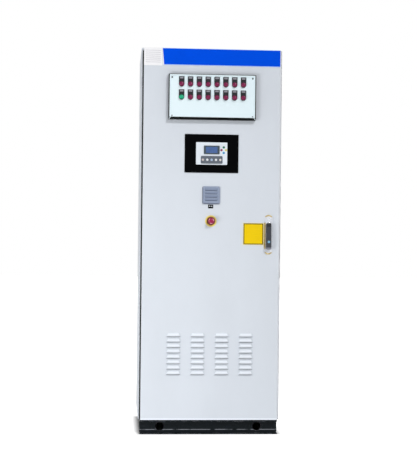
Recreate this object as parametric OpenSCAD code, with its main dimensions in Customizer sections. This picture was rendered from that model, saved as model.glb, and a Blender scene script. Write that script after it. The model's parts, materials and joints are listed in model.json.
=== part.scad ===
// Floor-standing battery charger: a folded steel cabinet with a full-height
// instrument door, standing on a plinth of rolled channel.
// Millimetres. X runs to the right seen from the front, Y to the rear, Z up.
// The origin is on the floor, under the middle of the plinth.

/* [Cabinet] */
// Width of the frame between its side panels
frame_w = 750; // [740:10:1000]
// Depth of the frame behind the door
frame_d = 600; // [560:10:900]
// Height of the cabinet above its plinth
cabinet_h = 2000; // [1960:10:2300]
// Thickness of the folded sheet
sheet_t = 2; // [1.5:0.1:2.5]
// Outside radius of the folds
fold_r = 3; // [2.6:0.1:5]
// Side of the frame's folded members
member_w = 45; // [40:1:55]
// Depth of the side and rear panels
panel_t = 5; // [4:0.5:20]
// Height of the roof panel
roof_h = 15; // [8:1:30]
// How far the side panels stop behind the frame's front
side_setback = 7; // [2:1:20]
// Play between panels that meet edge to edge
panel_play = 0.3; // [0.2:0.1:1]

/* [Plinth] */
// Height of the plinth's channels
channel_h = 75; // [65:5:150]
// Width of a channel's flanges
channel_b = 40; // [35:1:60]
// Thickness of a channel's web
channel_web = 6; // [4:0.5:8]
// Thickness of a channel's flanges
channel_flange = 7; // [5:0.5:9]
// Radius where a flange meets the web
channel_root = 7; // [3:0.5:8]
// How far the frame stands past the plinth on each side
plinth_inset = 5; // [0:1:20]
// How far the plinth stands past the frame at front and rear
plinth_reach = 23; // [20:1:28]
// Radius of the lifting-bar holes
lifting_r = 23; // [15:1:25]
// Spacing of the lifting-bar holes
lifting_pitch = 525; // [400:5:600]
// Radius of the anchor-bolt holes
anchor_r = 7; // [5:0.5:9]

/* [Door] */
// Depth of the folded door
door_t = 25; // [22:1:30]
// Gap between the door's edges and the frame's sides
door_side_gap = 7; // [6.5:0.5:10]
// Gap above the plinth and below the roof's top
door_end_gap = 3; // [2:0.5:8]
// Gap between the frame's face and the door's rim
door_rim_gap = 3; // [2.5:0.1:5]
// Width of the rubber strip under the rim
seal_w = 12; // [9:0.5:20]
// Gap between the rubber strip and the door's rim
seal_gap = 0.3; // [0.2:0.05:0.5]
// Width of the door's upright stiffeners
stiffener_w = 25; // [16:1:28]
// Depth of the door's stiffeners
stiffener_d = 16; // [10:1:19]
// Distance of the stiffeners' middles from the door's edges
stiffener_edge = 113; // [112:1:118]
// How far the stiffeners stop short of the door's ends
stiffener_end = 40; // [20:5:100]

/* [Hinges] */
// Number of lift-off hinges
hinge_count = 4; // [3:1:5]
// Distance of the end hinges from the door's ends
hinge_inset = 180; // [120:10:250]
// Radius of the hinge barrels
hinge_r = 3.8; // [3.4:0.1:3.9]
// Radius of the hinge pins
hinge_pin_r = 2.4; // [2:0.1:2.6]
// Length of one hinge barrel
hinge_barrel = 25; // [18:1:40]
// Thickness of the hinge leaves
hinge_leaf_t = 3; // [2:0.5:4]
// Distance of the hinge axis in front of the door's rim
hinge_forward = 12.5; // [11.5:0.5:14]
// Distance of the hinge axis outside the door's edge
hinge_offset = 4; // [4:0.1:4.6]
// Running play of the hinge pins
hinge_fit = 0.05; // [0.03:0.01:0.09]
// Gap between the two barrels of a hinge
hinge_gap = 0.3; // [0.1:0.1:1]

/* [Louvres] */
// Columns of louvres in a bank
louvre_columns = 4; // [1:1:4]
// Rows of louvres in a bank
louvre_rows = 8; // [1:1:9]
// Spacing of the columns
louvre_pitch_x = 129.6; // [90:0.1:130]
// Spacing of the rows
louvre_pitch_z = 29; // [27:0.5:40]
// Width of a louvre at its mouth
louvre_w = 74; // [50:1:80]
// Width of a louvre at its closed end
louvre_top_w = 56; // [30:1:70]
// Height of a louvre
louvre_h = 19; // [15:0.5:26]
// How far a louvre stands out
louvre_d = 8; // [5:0.5:10]
// Height of the door's lowest mouth above the door's lower edge
louvre_rise = 243; // [100:1:400]
// Drop of the rear bank's highest louvre below the roof
louvre_drop = 150; // [80:5:400]

/* [Header] */
// Height of the header strip
header_h = 90; // [50:1:120]
// Distance of the header strip from the door's left edge
header_left = 101; // [60:1:200]
// Width of the corner label
label_w = 98; // [40:1:100]
// Height of the corner label
label_h = 95; // [40:1:100]
// Thickness of the strip, the label and the placard
label_t = 1.2; // [0.6:0.1:2]

/* [Indicator panel] */
// Width of the indicator frame
indicator_w = 470; // [440:1:480]
// Height of the indicator frame
indicator_h = 243; // [230:1:280]
// How far the indicator frame stands out
indicator_d = 25; // [16:1:40]
// Width of the indicator frame's front edge
indicator_edge = 6; // [4:0.5:10]
// Width of the ledge that the plate rests on
indicator_ledge = 5; // [3:0.5:8]
// Thickness of the indicator plate
indicator_plate_t = 3; // [2:0.5:5]
// How far the plate lies behind the frame's front edge
indicator_recess = 2; // [0:0.5:4]
// Play round the indicator plate
indicator_play = 0.3; // [0.2:0.1:1]
// Drop of the panel's middle below the door's upper edge
indicator_drop = 262; // [240:1:290]

/* [Lamps] */
// Lamps in a row
lamp_columns = 8; // [1:1:8]
// Rows of lamps
lamp_rows = 2; // [1:1:2]
// Spacing of the lamps in a row
lamp_pitch_x = 47.5; // [32:0.5:48]
// Spacing of the rows
lamp_pitch_z = 70; // [60:1:74]
// How far the rows' middle lies above the panel's middle
lamp_rise = 32; // [20:1:34]
// Radius of the lamp lenses
lens_r = 13.5; // [10:0.1:14]
// Height of a lens's straight skirt
lens_skirt = 4; // [2:0.5:8]
// Height of a lens's dome
lens_dome = 6; // [3:0.5:9]
// Width of a lamp's legend holder
holder_w = 29; // [28.5:0.5:31]
// Height of a legend holder above the lens's middle
holder_rise = 41; // [30:1:42]
// Thickness of a legend holder
holder_t = 4; // [2:0.5:6]
// Radius of a lamp's body behind the plate
lamp_body_r = 11; // [8:0.5:12]
// Length of a lamp's body behind the plate
lamp_body_l = 58; // [40:1:70]
// Play round a lamp's body in its hole
lamp_play = 0.2; // [0.1:0.1:0.5]
// Margin round the lamps' bodies in the door's cut-out
lamp_margin = 6; // [3:1:10]

/* [Controller] */
// Width of the dark surround
surround_w = 290; // [200:1:360]
// Height of the dark surround
surround_h = 207; // [140:1:220]
// Thickness of the dark surround
surround_t = 3; // [2:0.5:5]
// Drop of the surround's middle below the door's upper edge
surround_drop = 563.5; // [540:0.5:580]
// Width of the controller's face
controller_w = 168; // [160:1:180]
// Height of the controller's face
controller_h = 120; // [116:1:130]
// Thickness of the controller's face
controller_t = 6; // [5:0.5:12]
// How far the face laps over its cut-out on each side
controller_lap = 4; // [2:0.5:8]
// Depth of the controller behind the door's face
controller_d = 78; // [40:1:120]
// Width of the display's bezel
bezel_w = 85; // [70:1:95]
// Height of the display's bezel
bezel_h = 46; // [36:1:50]
// Thickness of the display's bezel
bezel_t = 3; // [2:0.5:5]
// Height of the display above the controller's middle
bezel_rise = 19; // [17:1:28]
// Width of the display's window
window_w = 62; // [40:1:66]
// Height of the display's window
window_h = 33; // [20:1:34]
// Depth of the display's window
window_d = 1.5; // [0.5:0.1:1.9]
// Radius of the status lenses
status_r = 4.5; // [3:0.1:5]
// Distance of the status lenses' middle from the controller's middle
status_offset = 65; // [63:1:68]
// Half the width of the diamond of status lenses
status_half_w = 12; // [9:0.5:13]
// Half the height of the diamond of status lenses
status_half_h = 15; // [10:0.5:17]

/* [Keypad] */
// Number of keys
key_count = 5; // [5:1:5]
// Width of the keypad strip
keypad_w = 117; // [112:1:150]
// Height of the keypad strip
keypad_h = 41; // [24:1:42]
// Thickness of the keypad strip
keypad_t = 2.5; // [1.5:0.1:3]
// Drop of the keypad below the controller's middle
keypad_drop = 34; // [31:1:36]
// Spacing of the keys
key_pitch = 23.4; // [14:0.1:24]
// Radius of a key
key_r = 6; // [4:0.1:6.5]
// Play round a key
key_play = 0.3; // [0.2:0.05:0.5]
// Travel of a key
key_travel = 1; // [0.5:0.1:2]
// How far a key stands out of the strip
key_proud = 2; // [1.5:0.1:4]
// Depth of the pockets that the keys run in
key_pocket = 3; // [2.8:0.1:4.5]

/* [Sounder] */
// Side of the sounder's bezel
sounder_w = 96; // [70:1:110]
// Thickness of the sounder's bezel
sounder_t = 5; // [3:0.5:8]
// Side of the sounder's raised grille
grille_w = 80; // [50:1:86]
// Thickness of the sounder's raised grille
grille_t = 5; // [3:0.5:8]
// Slots in the grille
grille_slots = 4; // [1:1:4]
// Spacing of the grille's slots
grille_pitch = 18; // [12:0.5:18.5]
// Height of a slot
grille_slot_h = 7; // [3:0.5:9]
// How far the sounder's bezel laps over its cut-out on each side
sounder_lap = 3; // [2:0.5:5]
// Depth of the sounder behind the door's face
sounder_d = 60; // [40:1:90]
// Drop of the sounder's middle below the door's upper edge
sounder_drop = 788; // [775:1:800]

/* [Emergency stop] */
// Drop of the stop button below the sounder's middle
stop_drop = 138; // [110:1:160]
// Radius of the stop button's disc
stop_disc_r = 31; // [24:0.5:36]
// Thickness of the stop button's disc
stop_disc_t = 1.5; // [1:0.1:3]
// Radius of the collar
stop_collar_r = 20; // [15:0.5:22]
// Height of the collar
stop_collar_h = 12; // [8:0.5:16]
// Radius of the barrel through the door
stop_barrel_r = 11; // [10:0.1:12]
// Play round the barrel in the door
stop_barrel_play = 0.2; // [0.1:0.05:0.5]
// Radius of the plunger
stop_plunger_r = 7; // [5:0.1:8]
// Running play round the plunger
stop_fit = 0.06; // [0.03:0.01:0.09]
// Travel of the plunger
stop_travel = 6; // [3:0.5:8]
// Spare room past the travel
stop_spare = 0.5; // [0.3:0.1:1]
// Radius of the mushroom head
stop_head_r = 19; // [16:0.5:25]
// Height of the mushroom head
stop_head_h = 16; // [14:0.5:22]
// Width of the switch block behind the door
stop_block_w = 33; // [30:1:40]
// Height of the switch block behind the door
stop_block_h = 44; // [34:1:60]
// Depth of the switch block behind the door
stop_block_d = 38; // [25:1:60]

/* [Placard] */
// Width of the placard
placard_w = 114; // [80:1:116]
// Height of the placard
placard_h = 120; // [80:1:160]
// Distance of the placard's middle from the door's right edge
placard_edge = 137.5; // [136:0.5:160]
// Drop of the placard's middle below the door's upper edge
placard_drop = 993; // [960:1:1020]

/* [Handle] */
// Distance of the handle's middle from the door's right edge
handle_edge = 56; // [52:1:60]
// Drop of the handle's pivot below the door's upper edge
handle_drop = 941; // [900:1:1000]
// Width of the handle's escutcheon
escutcheon_w = 46; // [42:1:50]
// Length of the handle's escutcheon
escutcheon_h = 213; // [200:1:240]
// How far the escutcheon's middle lies below the pivot
escutcheon_drop = 55; // [52:1:60]
// Thickness of the escutcheon
escutcheon_t = 3; // [2:0.5:5]
// Height of the escutcheon's rim
escutcheon_rim = 2; // [1:0.5:3]
// Width of the escutcheon's rim
escutcheon_rim_w = 3; // [2:0.5:5]
// Clearance between the rim and the lever
lever_clear = 1; // [0.6:0.1:3]
// Length of the lever's grip below the finger relief
grip_l = 30; // [22:1:36]
// Width of the lever
lever_w = 27; // [24:1:30]
// Length of the lever below its pivot
lever_l = 135; // [120:1:150]
// Radius of the lever's pivot end
lever_end_r = 7; // [6.5:0.5:9]
// How far the lever's grip swells past its pivot end
lever_swell = 5; // [0:0.5:8]
// Radius of the lever's corners
lever_corner_r = 6; // [2:0.5:10]
// Radius of the lever's pivot pin
lever_pin_r = 2.5; // [1.5:0.1:3]
// Width of the tongue that carries the lever
tongue_w = 8; // [6:0.5:10]
// Wall of the lever in front of the tongue
tongue_wall = 2.5; // [2:0.1:3.5]
// Side play of the tongue in the lever
tongue_play = 0.3; // [0.2:0.05:0.5]
// Radius of the hub's shaft
hub_r = 9; // [7:0.5:10]
// Radius of the hub's head
hub_head_r = 12; // [11:0.5:16]
// Gaps in front of and behind the hub's head
hub_gap = 0.3; // [0.1:0.1:0.4]
// Running play of the handle's round fits
handle_fit = 0.06; // [0.03:0.01:0.09]
// Radius of the lock cylinder
lock_r = 6.5; // [5:0.1:8]
// Distance of the lock cylinder below the pivot
lock_drop = 94; // [60:1:105]
// How far the lock cylinder stands out of the lever
lock_proud = 1; // [0.5:0.1:2]

/* [Locking rods] */
// Module of the pinion and the racks
gear_module = 2.5; // [2:0.1:2.6]
// Teeth on the pinion
pinion_teeth = 12; // [12:2:12]
// Pressure angle of the teeth
pressure_angle = 20; // [18:1:22]
// Height of a pinion tooth above the pitch circle, in modules
tooth_addendum = 0.8; // [0.6:0.05:0.8]
// Depth of a tooth below the pitch circle, in modules
tooth_dedendum = 1.15; // [1.05:0.05:1.2]
// Backlash between pinion and rack
gear_backlash = 0.7; // [0.5:0.1:1]
// Width of a rod
rod_w = 12; // [8:0.5:14]
// Thickness of a rod
rod_t = 6; // [4:0.5:7]
// Height of the rods above the door's skin
rod_lift = 6; // [5:0.5:8]
// Play of a rod in its guides
rod_play = 0.4; // [0.3:0.05:0.8]
// Number of guides on each rod
guide_count = 3; // [2:1:5]
// Length of a guide
guide_l = 16; // [10:1:30]
// Wall of a guide
guide_t = 3; // [2:0.5:4]
// Distance of the first guide from the pivot
guide_near = 75; // [65:1:100]
// Distance of the last guide from the roller
guide_far = 60; // [50:1:100]
// Radius of the rollers at the rods' ends
roller_r = 6; // [4.5:0.5:6.5]
// Gap between a roller and the door's end fold
roller_gap = 10; // [5:1:30]

/* [Floor and glands] */
// Spacing of the bearers under the floor
bearer_pitch = 200; // [150:10:240]
// Width of a bearer
bearer_w = 50; // [40:1:70]
// Number of cable glands
gland_count = 4; // [4:1:4]
// Spacing of the cable glands
gland_pitch = 70; // [56:1:80]
// Radius of a gland's bore
gland_bore_r = 12; // [8:0.5:14]
// Radius of a gland's thread
gland_thread_r = 16; // [15:0.5:19]
// Radius of a gland's hexagon across its corners
gland_hex_r = 22; // [20:0.5:26]
// Height of a gland's hexagon
gland_hex_h = 8; // [5:0.5:12]
// Height of a gland's cap
gland_cap_h = 18; // [10:1:30]
// Length of a gland's thread below the floor
gland_thread_l = 14; // [12:1:25]
// Width of the gland plate
gland_plate_w = 310; // [300:1:400]
// Depth of the gland plate
gland_plate_d = 80; // [70:1:100]
// Thickness of the gland plate
gland_plate_t = 3; // [2:0.5:5]
// How far the gland plate laps over the floor's opening
gland_lap = 10; // [6:1:14]
// Distance of the gland plate's middle in front of the frame's rear
gland_from_rear = 95; // [90:1:110]

/* [Mounting plate] */
// Height of the mounting plate's lower edge above the plinth
plate_base = 565; // [500:5:600]
// Gap between the rows of devices on the mounting plate
row_gap = 43; // [30:1:60]
// Gap between the frame's rails and the devices nearest to them
side_gap = 60; // [30:1:70]
// Thickness of the mounting plate
plate_t = 2.5; // [2:0.5:4]
// Depth of the mounting plate's side folds
plate_fold = 22; // [15:1:35]
// Distance of the mounting plate's face in front of the frame's rear
plate_from_rear = 100; // [90:1:120]

/* [Transformer] */
// Height of the transformer's core
core_h = 300; // [260:5:400]
// Stack of the transformer's core
core_d = 110; // [80:5:130]
// Width of the core in widths of its limbs, as its sheets are stamped
core_limbs_wide = 6; // [5.6:0.1:7.2]
// Gap between neighbouring coils
coil_gap = 13.4; // [8:0.1:30]
// Play between a coil and its limb
coil_play = 0.3; // [0.2:0.1:0.5]
// Gap between a coil and the yokes
coil_end_gap = 10; // [4:1:20]
// Side of the clamping angles
angle_w = 40; // [25:1:50]
// Thickness of the clamping angles
angle_t = 4; // [3:0.5:6]

/* [Choke] */
// Width of the choke's core
choke_w = 150; // [130:1:160]
// Height of the choke's core
choke_h = 190; // [160:1:240]
// Stack of the choke's core
choke_d = 90; // [60:1:120]
// Width of the choke's limbs
choke_limb = 34; // [28:1:36]
// Winding thickness of the choke's coil
choke_build = 28; // [18:1:29]

/* [Rectifier] */
// Width of the heatsink
heatsink_w = 264; // [200:1:280]
// Height of the heatsink
heatsink_h = 280; // [240:5:300]
// Thickness of the heatsink's base
heatsink_base = 12; // [8:0.5:20]
// Depth of the heatsink's fins
fin_d = 60; // [30:1:70]
// Thickness of a fin
fin_t = 3; // [2:0.5:4]
// Number of fins
fin_count = 19; // [8:1:22]
// Width of a thyristor module
module_w = 48; // [40:1:60]
// Height of a thyristor module
module_h = 92; // [80:1:110]
// Depth of a thyristor module
module_d = 30; // [20:1:40]
// Spacing of the thyristor modules
module_pitch = 80; // [66:1:85]

/* [Capacitors] */
// Number of filter capacitors
capacitor_count = 3; // [1:1:3]
// Radius of a capacitor
capacitor_r = 38; // [25:1:40]
// Length of a capacitor
capacitor_l = 140; // [80:5:150]
// Spacing of the capacitors
capacitor_pitch = 96; // [84:1:100]
// Width of the collar that clamps a capacitor
clamp_w = 4; // [2:0.5:6]
// Length of the collar that clamps a capacitor
clamp_l = 24; // [10:1:40]
// Radius of a capacitor's terminal
terminal_r = 6; // [4:0.5:8]
// Length of a capacitor's terminal
terminal_l = 6; // [4:0.5:12]
// Spacing of a capacitor's terminals
terminal_pitch = 32; // [26:1:40]
// Width of a busbar
bar_w = 20; // [14:1:24]
// Thickness of a busbar
bar_t = 5; // [3:0.5:8]

/* [Switchgear] */
// Width of a circuit breaker
breaker_w = 105; // [90:1:115]
// Height of a circuit breaker
breaker_h = 165; // [140:1:170]
// Depth of a circuit breaker
breaker_d = 70; // [55:1:90]
// Width of the raised nose round a breaker's toggle
nose_w = 50; // [36:1:70]
// Height of the raised nose round a breaker's toggle
nose_h = 64; // [58:1:80]
// Depth of the raised nose round a breaker's toggle
nose_d = 14; // [8:1:20]
// Width of the contactor
contactor_w = 92; // [70:1:120]
// Height of the contactor
contactor_h = 120; // [90:1:150]
// Depth of the contactor
contactor_d = 96; // [60:1:120]
// Step round the contactor's raised front
contactor_step = 14; // [6:1:20]
// Depth of a toggle's pivot behind the nose's face
toggle_depth = 12; // [10:0.5:13]
// Radius of a toggle's barrel
toggle_r = 8; // [6:0.5:9]
// Width of a toggle
toggle_w = 12; // [9:0.5:16]
// Thickness of a toggle's handle
toggle_t = 6; // [4:0.5:8]
// Reach of a toggle's handle from its pivot
toggle_l = 34; // [28:1:40]
// Radius of a toggle's trunnions
trunnion_r = 2; // [1.5:0.1:3]
// Length of a toggle's trunnions
trunnion_l = 3; // [2:0.5:5]
// Play of the toggle in its slot
toggle_play = 0.4; // [0.3:0.05:0.8]
// Running play of the trunnions
trunnion_fit = 0.06; // [0.03:0.01:0.09]
// Swing of the toggle to each side
toggle_swing = 20; // [12:1:24]

/* [Ducts and terminals] */
// Height of a wiring duct
duct_h = 40; // [30:1:45]
// Depth of a wiring duct
duct_d = 60; // [40:1:70]
// Wall of a wiring duct
duct_wall = 2; // [1.5:0.1:3]
// Spacing of a duct's slots
duct_slot_pitch = 25; // [16:1:40]
// Width of a duct's slots
duct_slot_w = 8; // [4:0.5:12]
// Gap between the ducts' ends and the frame's rails
duct_end_gap = 20; // [10:1:40]
// Width of one terminal
way_w = 12; // [8:0.5:16]
// Number of terminals
way_count = 26; // [10:1:30]
// Height of a terminal
way_h = 50; // [40:1:56]
// Depth of a terminal
way_d = 46; // [35:1:60]
// Width of the groove between terminals
way_groove = 1.2; // [0.6:0.1:2]
// Width of the rail under the terminals
din_w = 35; // [30:1:38]
// Height of the rail under the terminals
din_h = 7.5; // [5:0.5:15]
// Width of the control board
board_w = 190; // [150:1:200]
// Height of the control board
board_h = 150; // [120:1:160]
// Thickness of the control board
board_t = 1.6; // [1:0.1:3]
// Gap behind the control board
board_gap = 12; // [8:1:25]
// Radius of the control board's pillars
pillar_r = 4; // [3:0.5:6]
// Number of relays on the board
relay_count = 5; // [1:1:5]
// Spacing of the relays
relay_pitch = 34; // [30:1:36]
// Width of a relay
relay_w = 20; // [14:1:28]
// Length of a relay
relay_l = 28; // [20:1:32]
// Height of a relay
relay_h = 16; // [10:1:25]

/* [Hidden] */
$fn = 48;
// How far a cutter runs past the face that it opens
past = 1;
powder_grey = "#D6DCE4";
plinth_black = "#1B1C20";
rubber_black = "#17181A";
zinc = "#B9BDC2";
moulded_black = "#26282C";
copper = "#B8703C";

// Cabinet
base_z = channel_h;
top_z = channel_h + cabinet_h;
frame_top = top_z - roof_h;
frame_h = frame_top - base_z;
frame_front = -frame_d / 2;
frame_rear = frame_d / 2;
frame_x = frame_w / 2;
inner_x = frame_x - member_w;
rail_front = frame_front + member_w;
rail_rear = frame_rear - member_w;
floor_z = base_z + member_w;
floor_top = floor_z + sheet_t;
side_front = frame_front + side_setback;
side_rear = frame_rear + panel_t;
panel_z = base_z + door_end_gap;
panel_h = top_z - panel_z;
rear_bank_h = (louvre_rows - 1) * louvre_pitch_z + louvre_h;
rear_bank_z = panel_h - louvre_drop - rear_bank_h;
// Plinth
plinth_w = frame_w - 2 * plinth_inset;
plinth_d = frame_d + 2 * plinth_reach;
web_back = plinth_d / 2 - channel_b;
anchor_y = plinth_d / 2 - (channel_b - channel_web) / 2;
channel_clear = channel_h - 2 * channel_flange;
// Door
door_w = frame_w - 2 * door_side_gap;
door_x = door_w / 2;
door_z0 = base_z + door_end_gap;
door_z1 = top_z - door_end_gap;
door_h = door_z1 - door_z0;
door_back = frame_front - door_rim_gap;
door_front = door_back - door_t;
door_inside = door_front + sheet_t;
stiffener_x = door_x - stiffener_edge;
// Hinges
hinge_x = -door_x - hinge_offset;
hinge_y = door_back - hinge_forward;
hinge_pitch = (door_h - 2 * hinge_inset) / (hinge_count - 1);
hinge_heights = [for (i = [0 : hinge_count - 1]) door_z0 + hinge_inset + i * hinge_pitch];
// Indicator panel
indicator_z = door_z1 - indicator_drop;
indicator_front = door_front - indicator_d;
plate_front = indicator_front + indicator_recess;
plate_back = plate_front + indicator_plate_t;
lamp_places = [for (r = [0 : lamp_rows - 1], c = [0 : lamp_columns - 1])
    [(c - (lamp_columns - 1) / 2) * lamp_pitch_x,
     indicator_z + lamp_rise + ((lamp_rows - 1) / 2 - r) * lamp_pitch_z]];
green_place = (lamp_rows - 1) * lamp_columns;
lens_seat = plate_front - holder_t;
// Controller
controller_z = door_z1 - surround_drop;
surround_front = door_front - surround_t;
face_front = surround_front - controller_t;
body_w = controller_w - 2 * controller_lap;
body_h = controller_h - 2 * controller_lap;
keypad_z = controller_z - keypad_drop;
key_places = [for (i = [0 : key_count - 1]) (i - (key_count - 1) / 2) * key_pitch];
// Sounder, stop button and placard
sounder_z = door_z1 - sounder_drop;
sounder_body = sounder_w - 2 * sounder_lap;
stop_z = sounder_z - stop_drop;
collar_seat = door_front - stop_disc_t;
collar_front = collar_seat - stop_collar_h;
head_back = collar_front - stop_travel - stop_spare;
barrel_back = door_back + stop_collar_h;
placard_x = door_x - placard_edge;
placard_z = door_z1 - placard_drop;
// Handle and rods
handle_x = door_x - handle_edge;
pivot_z = door_z1 - handle_drop;
escutcheon_front = door_front - escutcheon_t;
rim_front = escutcheon_front - escutcheon_rim;
lever_back = rim_front - lever_clear;
lever_axis_y = lever_back - lever_end_r;
tongue_r = lever_end_r - tongue_wall;
pitch_r = gear_module * pinion_teeth / 2;
rack_face = pitch_r + tooth_dedendum * gear_module;
rod_offset = rack_face + rod_w / 2;
rod_travel = pitch_r * PI / 2;
rod_front = door_inside + rod_lift;
rod_rear = rod_front + rod_t;
upper_roller_z = door_z1 - sheet_t - roller_gap - roller_r;
lower_roller_z = door_z0 + sheet_t + roller_gap + roller_r;
// Floor and glands
gland_y = frame_rear - gland_from_rear;
gland_top = floor_top + gland_plate_t;
gland_places = [for (i = [0 : gland_count - 1]) (i - (gland_count - 1) / 2) * gland_pitch];
// Mounting plate and what it carries, in rows from its lower edge
plate_y = frame_rear - plate_from_rear;
plate_z = base_z + plate_base;
terminals_z = plate_z + row_gap + way_h / 2;
low_duct_z = terminals_z + way_h / 2 + row_gap + duct_h / 2;
heatsink_z = low_duct_z + duct_h / 2 + row_gap;
module_z = heatsink_z + heatsink_h / 2;
mid_duct_z = heatsink_z + heatsink_h + row_gap + duct_h / 2;
capacitor_z = mid_duct_z + duct_h / 2 + row_gap + capacitor_r + clamp_w;
high_duct_z = capacitor_z + capacitor_r + clamp_w + row_gap + duct_h / 2;
switchgear_z = high_duct_z + duct_h / 2 + row_gap + breaker_h / 2;
top_duct_z = switchgear_z + breaker_h / 2 + row_gap + duct_h / 2;
plate_top = top_duct_z + duct_h / 2 + row_gap / 2;
heatsink_x = side_gap + heatsink_w / 2 - inner_x;
choke_x = inner_x - side_gap / 2 - choke_w / 2;
core_w = choke_x - choke_w / 2 + inner_x - 2 * side_gap;
core_limb = core_w / core_limbs_wide;
transformer_x = side_gap + core_w / 2 - inner_x;
coil_pitch = (core_w - core_limb) / 2;
coil_build = (coil_pitch - coil_gap - core_limb) / 2 - coil_play;
breaker_x = inner_x - side_gap - breaker_w / 2;
board_x = inner_x - side_gap - board_w / 2;
rail_heights = [base_z, plate_z, plate_top - member_w, frame_top - member_w];
heatsink_front = plate_y - fin_d - heatsink_base;
capacitor_places = [for (i = [0 : capacitor_count - 1])
    (i - (capacitor_count - 1) / 2) * capacitor_pitch + heatsink_x];
toggle_y = plate_y - breaker_d - nose_d + toggle_depth;

// A box given by its two ends on each axis
module span(x, y, z) {
    translate([x[0], y[0], z[0]]) cube([x[1] - x[0], y[1] - y[0], z[1] - z[0]]);
}

// A flat outline with round corners, about its middle
module round_outline(w, h, r) {
    square([w - 2 * r, h], center = true);
    square([w, h - 2 * r], center = true);
    for (x = [-1, 1], y = [-1, 1]) translate([x * (w / 2 - r), y * (h / 2 - r)]) circle(r);
}

// A flat outline with half-round ends, about its middle
module obround(w, h) {
    square([w, h - w], center = true);
    for (y = [-1, 1]) translate([0, y * (h - w) / 2]) circle(w / 2);
}

// Turns a shape drawn along +Z to face the front, with its seat at a point
module facing(x, y, z) {
    translate([x, y, z]) rotate([90, 0, 0]) children();
}

// Extrudes an outline drawn in the Y and Z directions from x0 by a length
module along_x(x0, length) {
    translate([x0, 0, 0]) rotate([90, 0, 90]) linear_extrude(length) children();
}

// A shape and its mirror image on the other side
module both_sides() {
    for (side = [0, 1]) mirror([side, 0, 0]) children();
}

// Section of a folded pan: its back is open, its face lies at -depth
module pan_outline(w, depth, r, open = 0) {
    translate([-w / 2, r - depth]) square([w, depth - r + open]);
    translate([r - w / 2, -depth]) square([w - 2 * r, depth]);
    for (side = [-1, 1]) translate([side * (w / 2 - r), r - depth]) circle(r);
}

// A folded pan that stands up and faces the front
module pan(w, h, depth) {
    r = min(fold_r, depth / 2);
    difference() {
        linear_extrude(h) pan_outline(w, depth, r);
        translate([0, 0, sheet_t])
            linear_extrude(h - 2 * sheet_t)
                pan_outline(w - 2 * sheet_t, depth - sheet_t, r - sheet_t, past);
    }
}

// A domed lens on a straight skirt
module lens(r, skirt, dome) {
    ball_r = (r * r + dome * dome) / (2 * dome);
    cylinder(r = r, h = skirt);
    intersection() {
        translate([0, 0, skirt + dome - ball_r]) sphere(ball_r);
        translate([0, 0, skirt]) cylinder(r = r, h = dome + past);
    }
}

// Section of a rolled channel: the web at the left, the flanges to the right
module channel_outline() {
    difference() {
        square([channel_b, channel_h]);
        translate([channel_web, channel_flange]) {
            translate([channel_root, 0]) square([channel_b, channel_clear]);
            translate([0, channel_root]) square([channel_b, channel_clear - 2 * channel_root]);
            for (z = [channel_root, channel_clear - channel_root])
                translate([channel_root, z]) circle(channel_root);
        }
    }
}

// The plinth's rear channel, with lifting-bar holes over its anchor holes
module cross_channel() {
    difference() {
        translate([0, web_back, 0]) along_x(-plinth_w / 2, plinth_w) channel_outline();
        for (x = [-1, 1] * lifting_pitch / 2) {
            translate([x, web_back - past, channel_h / 2])
                rotate([-90, 0, 0]) cylinder(r = lifting_r, h = channel_web + 2 * past);
            translate([x, anchor_y, -past]) cylinder(r = anchor_r, h = channel_flange + 2 * past);
        }
    }
}

module plinth_rear_channel() {
    color(plinth_black) cross_channel();
}

module plinth_front_channel() {
    color(plinth_black) mirror([0, 1, 0]) cross_channel();
}

module plinth_side_channels() {
    color(plinth_black) both_sides()
        facing(-plinth_w / 2, web_back, 0) linear_extrude(2 * web_back) channel_outline();
}

// Outline of a frame ring, drawn in by an amount on both of its edges
module ring_outline(inset) {
    difference() {
        translate([inset - frame_x, base_z + inset])
            square([frame_w - 2 * inset, frame_h - 2 * inset]);
        translate([-inner_x - inset, floor_z - inset])
            square([2 * (inner_x + inset), frame_h - 2 * (member_w - inset)]);
    }
}

// A ring of folded channel, closed towards the front and open behind
module frame_ring() {
    color(zinc) difference() {
        facing(0, rail_front, 0) linear_extrude(member_w) ring_outline(0);
        facing(0, rail_front + past, 0)
            linear_extrude(member_w - sheet_t + past) ring_outline(sheet_t);
    }
}

module front_frame() {
    frame_ring();
}

module rear_frame() {
    mirror([0, 1, 0]) frame_ring();
}

// A square tube from front to rear on the right side
module depth_rail(z) {
    difference() {
        span([inner_x, frame_x], [rail_front, rail_rear], [z, z + member_w]);
        span([inner_x + sheet_t, frame_x - sheet_t], [rail_front - past, rail_rear + past],
             [z + sheet_t, z + member_w - sheet_t]);
    }
}

// A bearer folded open downwards, across the cabinet
module bearer(y) {
    difference() {
        span([panel_play - inner_x, inner_x - panel_play], [y - bearer_w / 2, y + bearer_w / 2],
             [base_z, floor_z]);
        span([-inner_x - past, inner_x + past],
             [y - bearer_w / 2 + sheet_t, y + bearer_w / 2 - sheet_t],
             [base_z - past, floor_z - sheet_t]);
    }
}

module frame_rails() {
    color(zinc) {
        both_sides() for (z = rail_heights) depth_rail(z);
        for (y = [-1, 1] * bearer_pitch / 2) bearer(y);
    }
}

module right_side_panel() {
    color(powder_grey)
        translate([frame_x, (side_front + side_rear) / 2, panel_z])
            rotate([0, 0, 90]) pan(side_rear - side_front, panel_h, panel_t);
}

module left_side_panel() {
    mirror([1, 0, 0]) right_side_panel();
}

// Front view of a louvre, narrowed by an amount and let down by another
module louvre_outline(inset, below) {
    polygon([
        [inset - louvre_w / 2, -below], [louvre_w / 2 - inset, -below],
        [louvre_w / 2 - inset, 0], [louvre_top_w / 2 - inset, louvre_h],
        [inset - louvre_top_w / 2, louvre_h], [inset - louvre_w / 2, 0]]);
}

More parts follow.
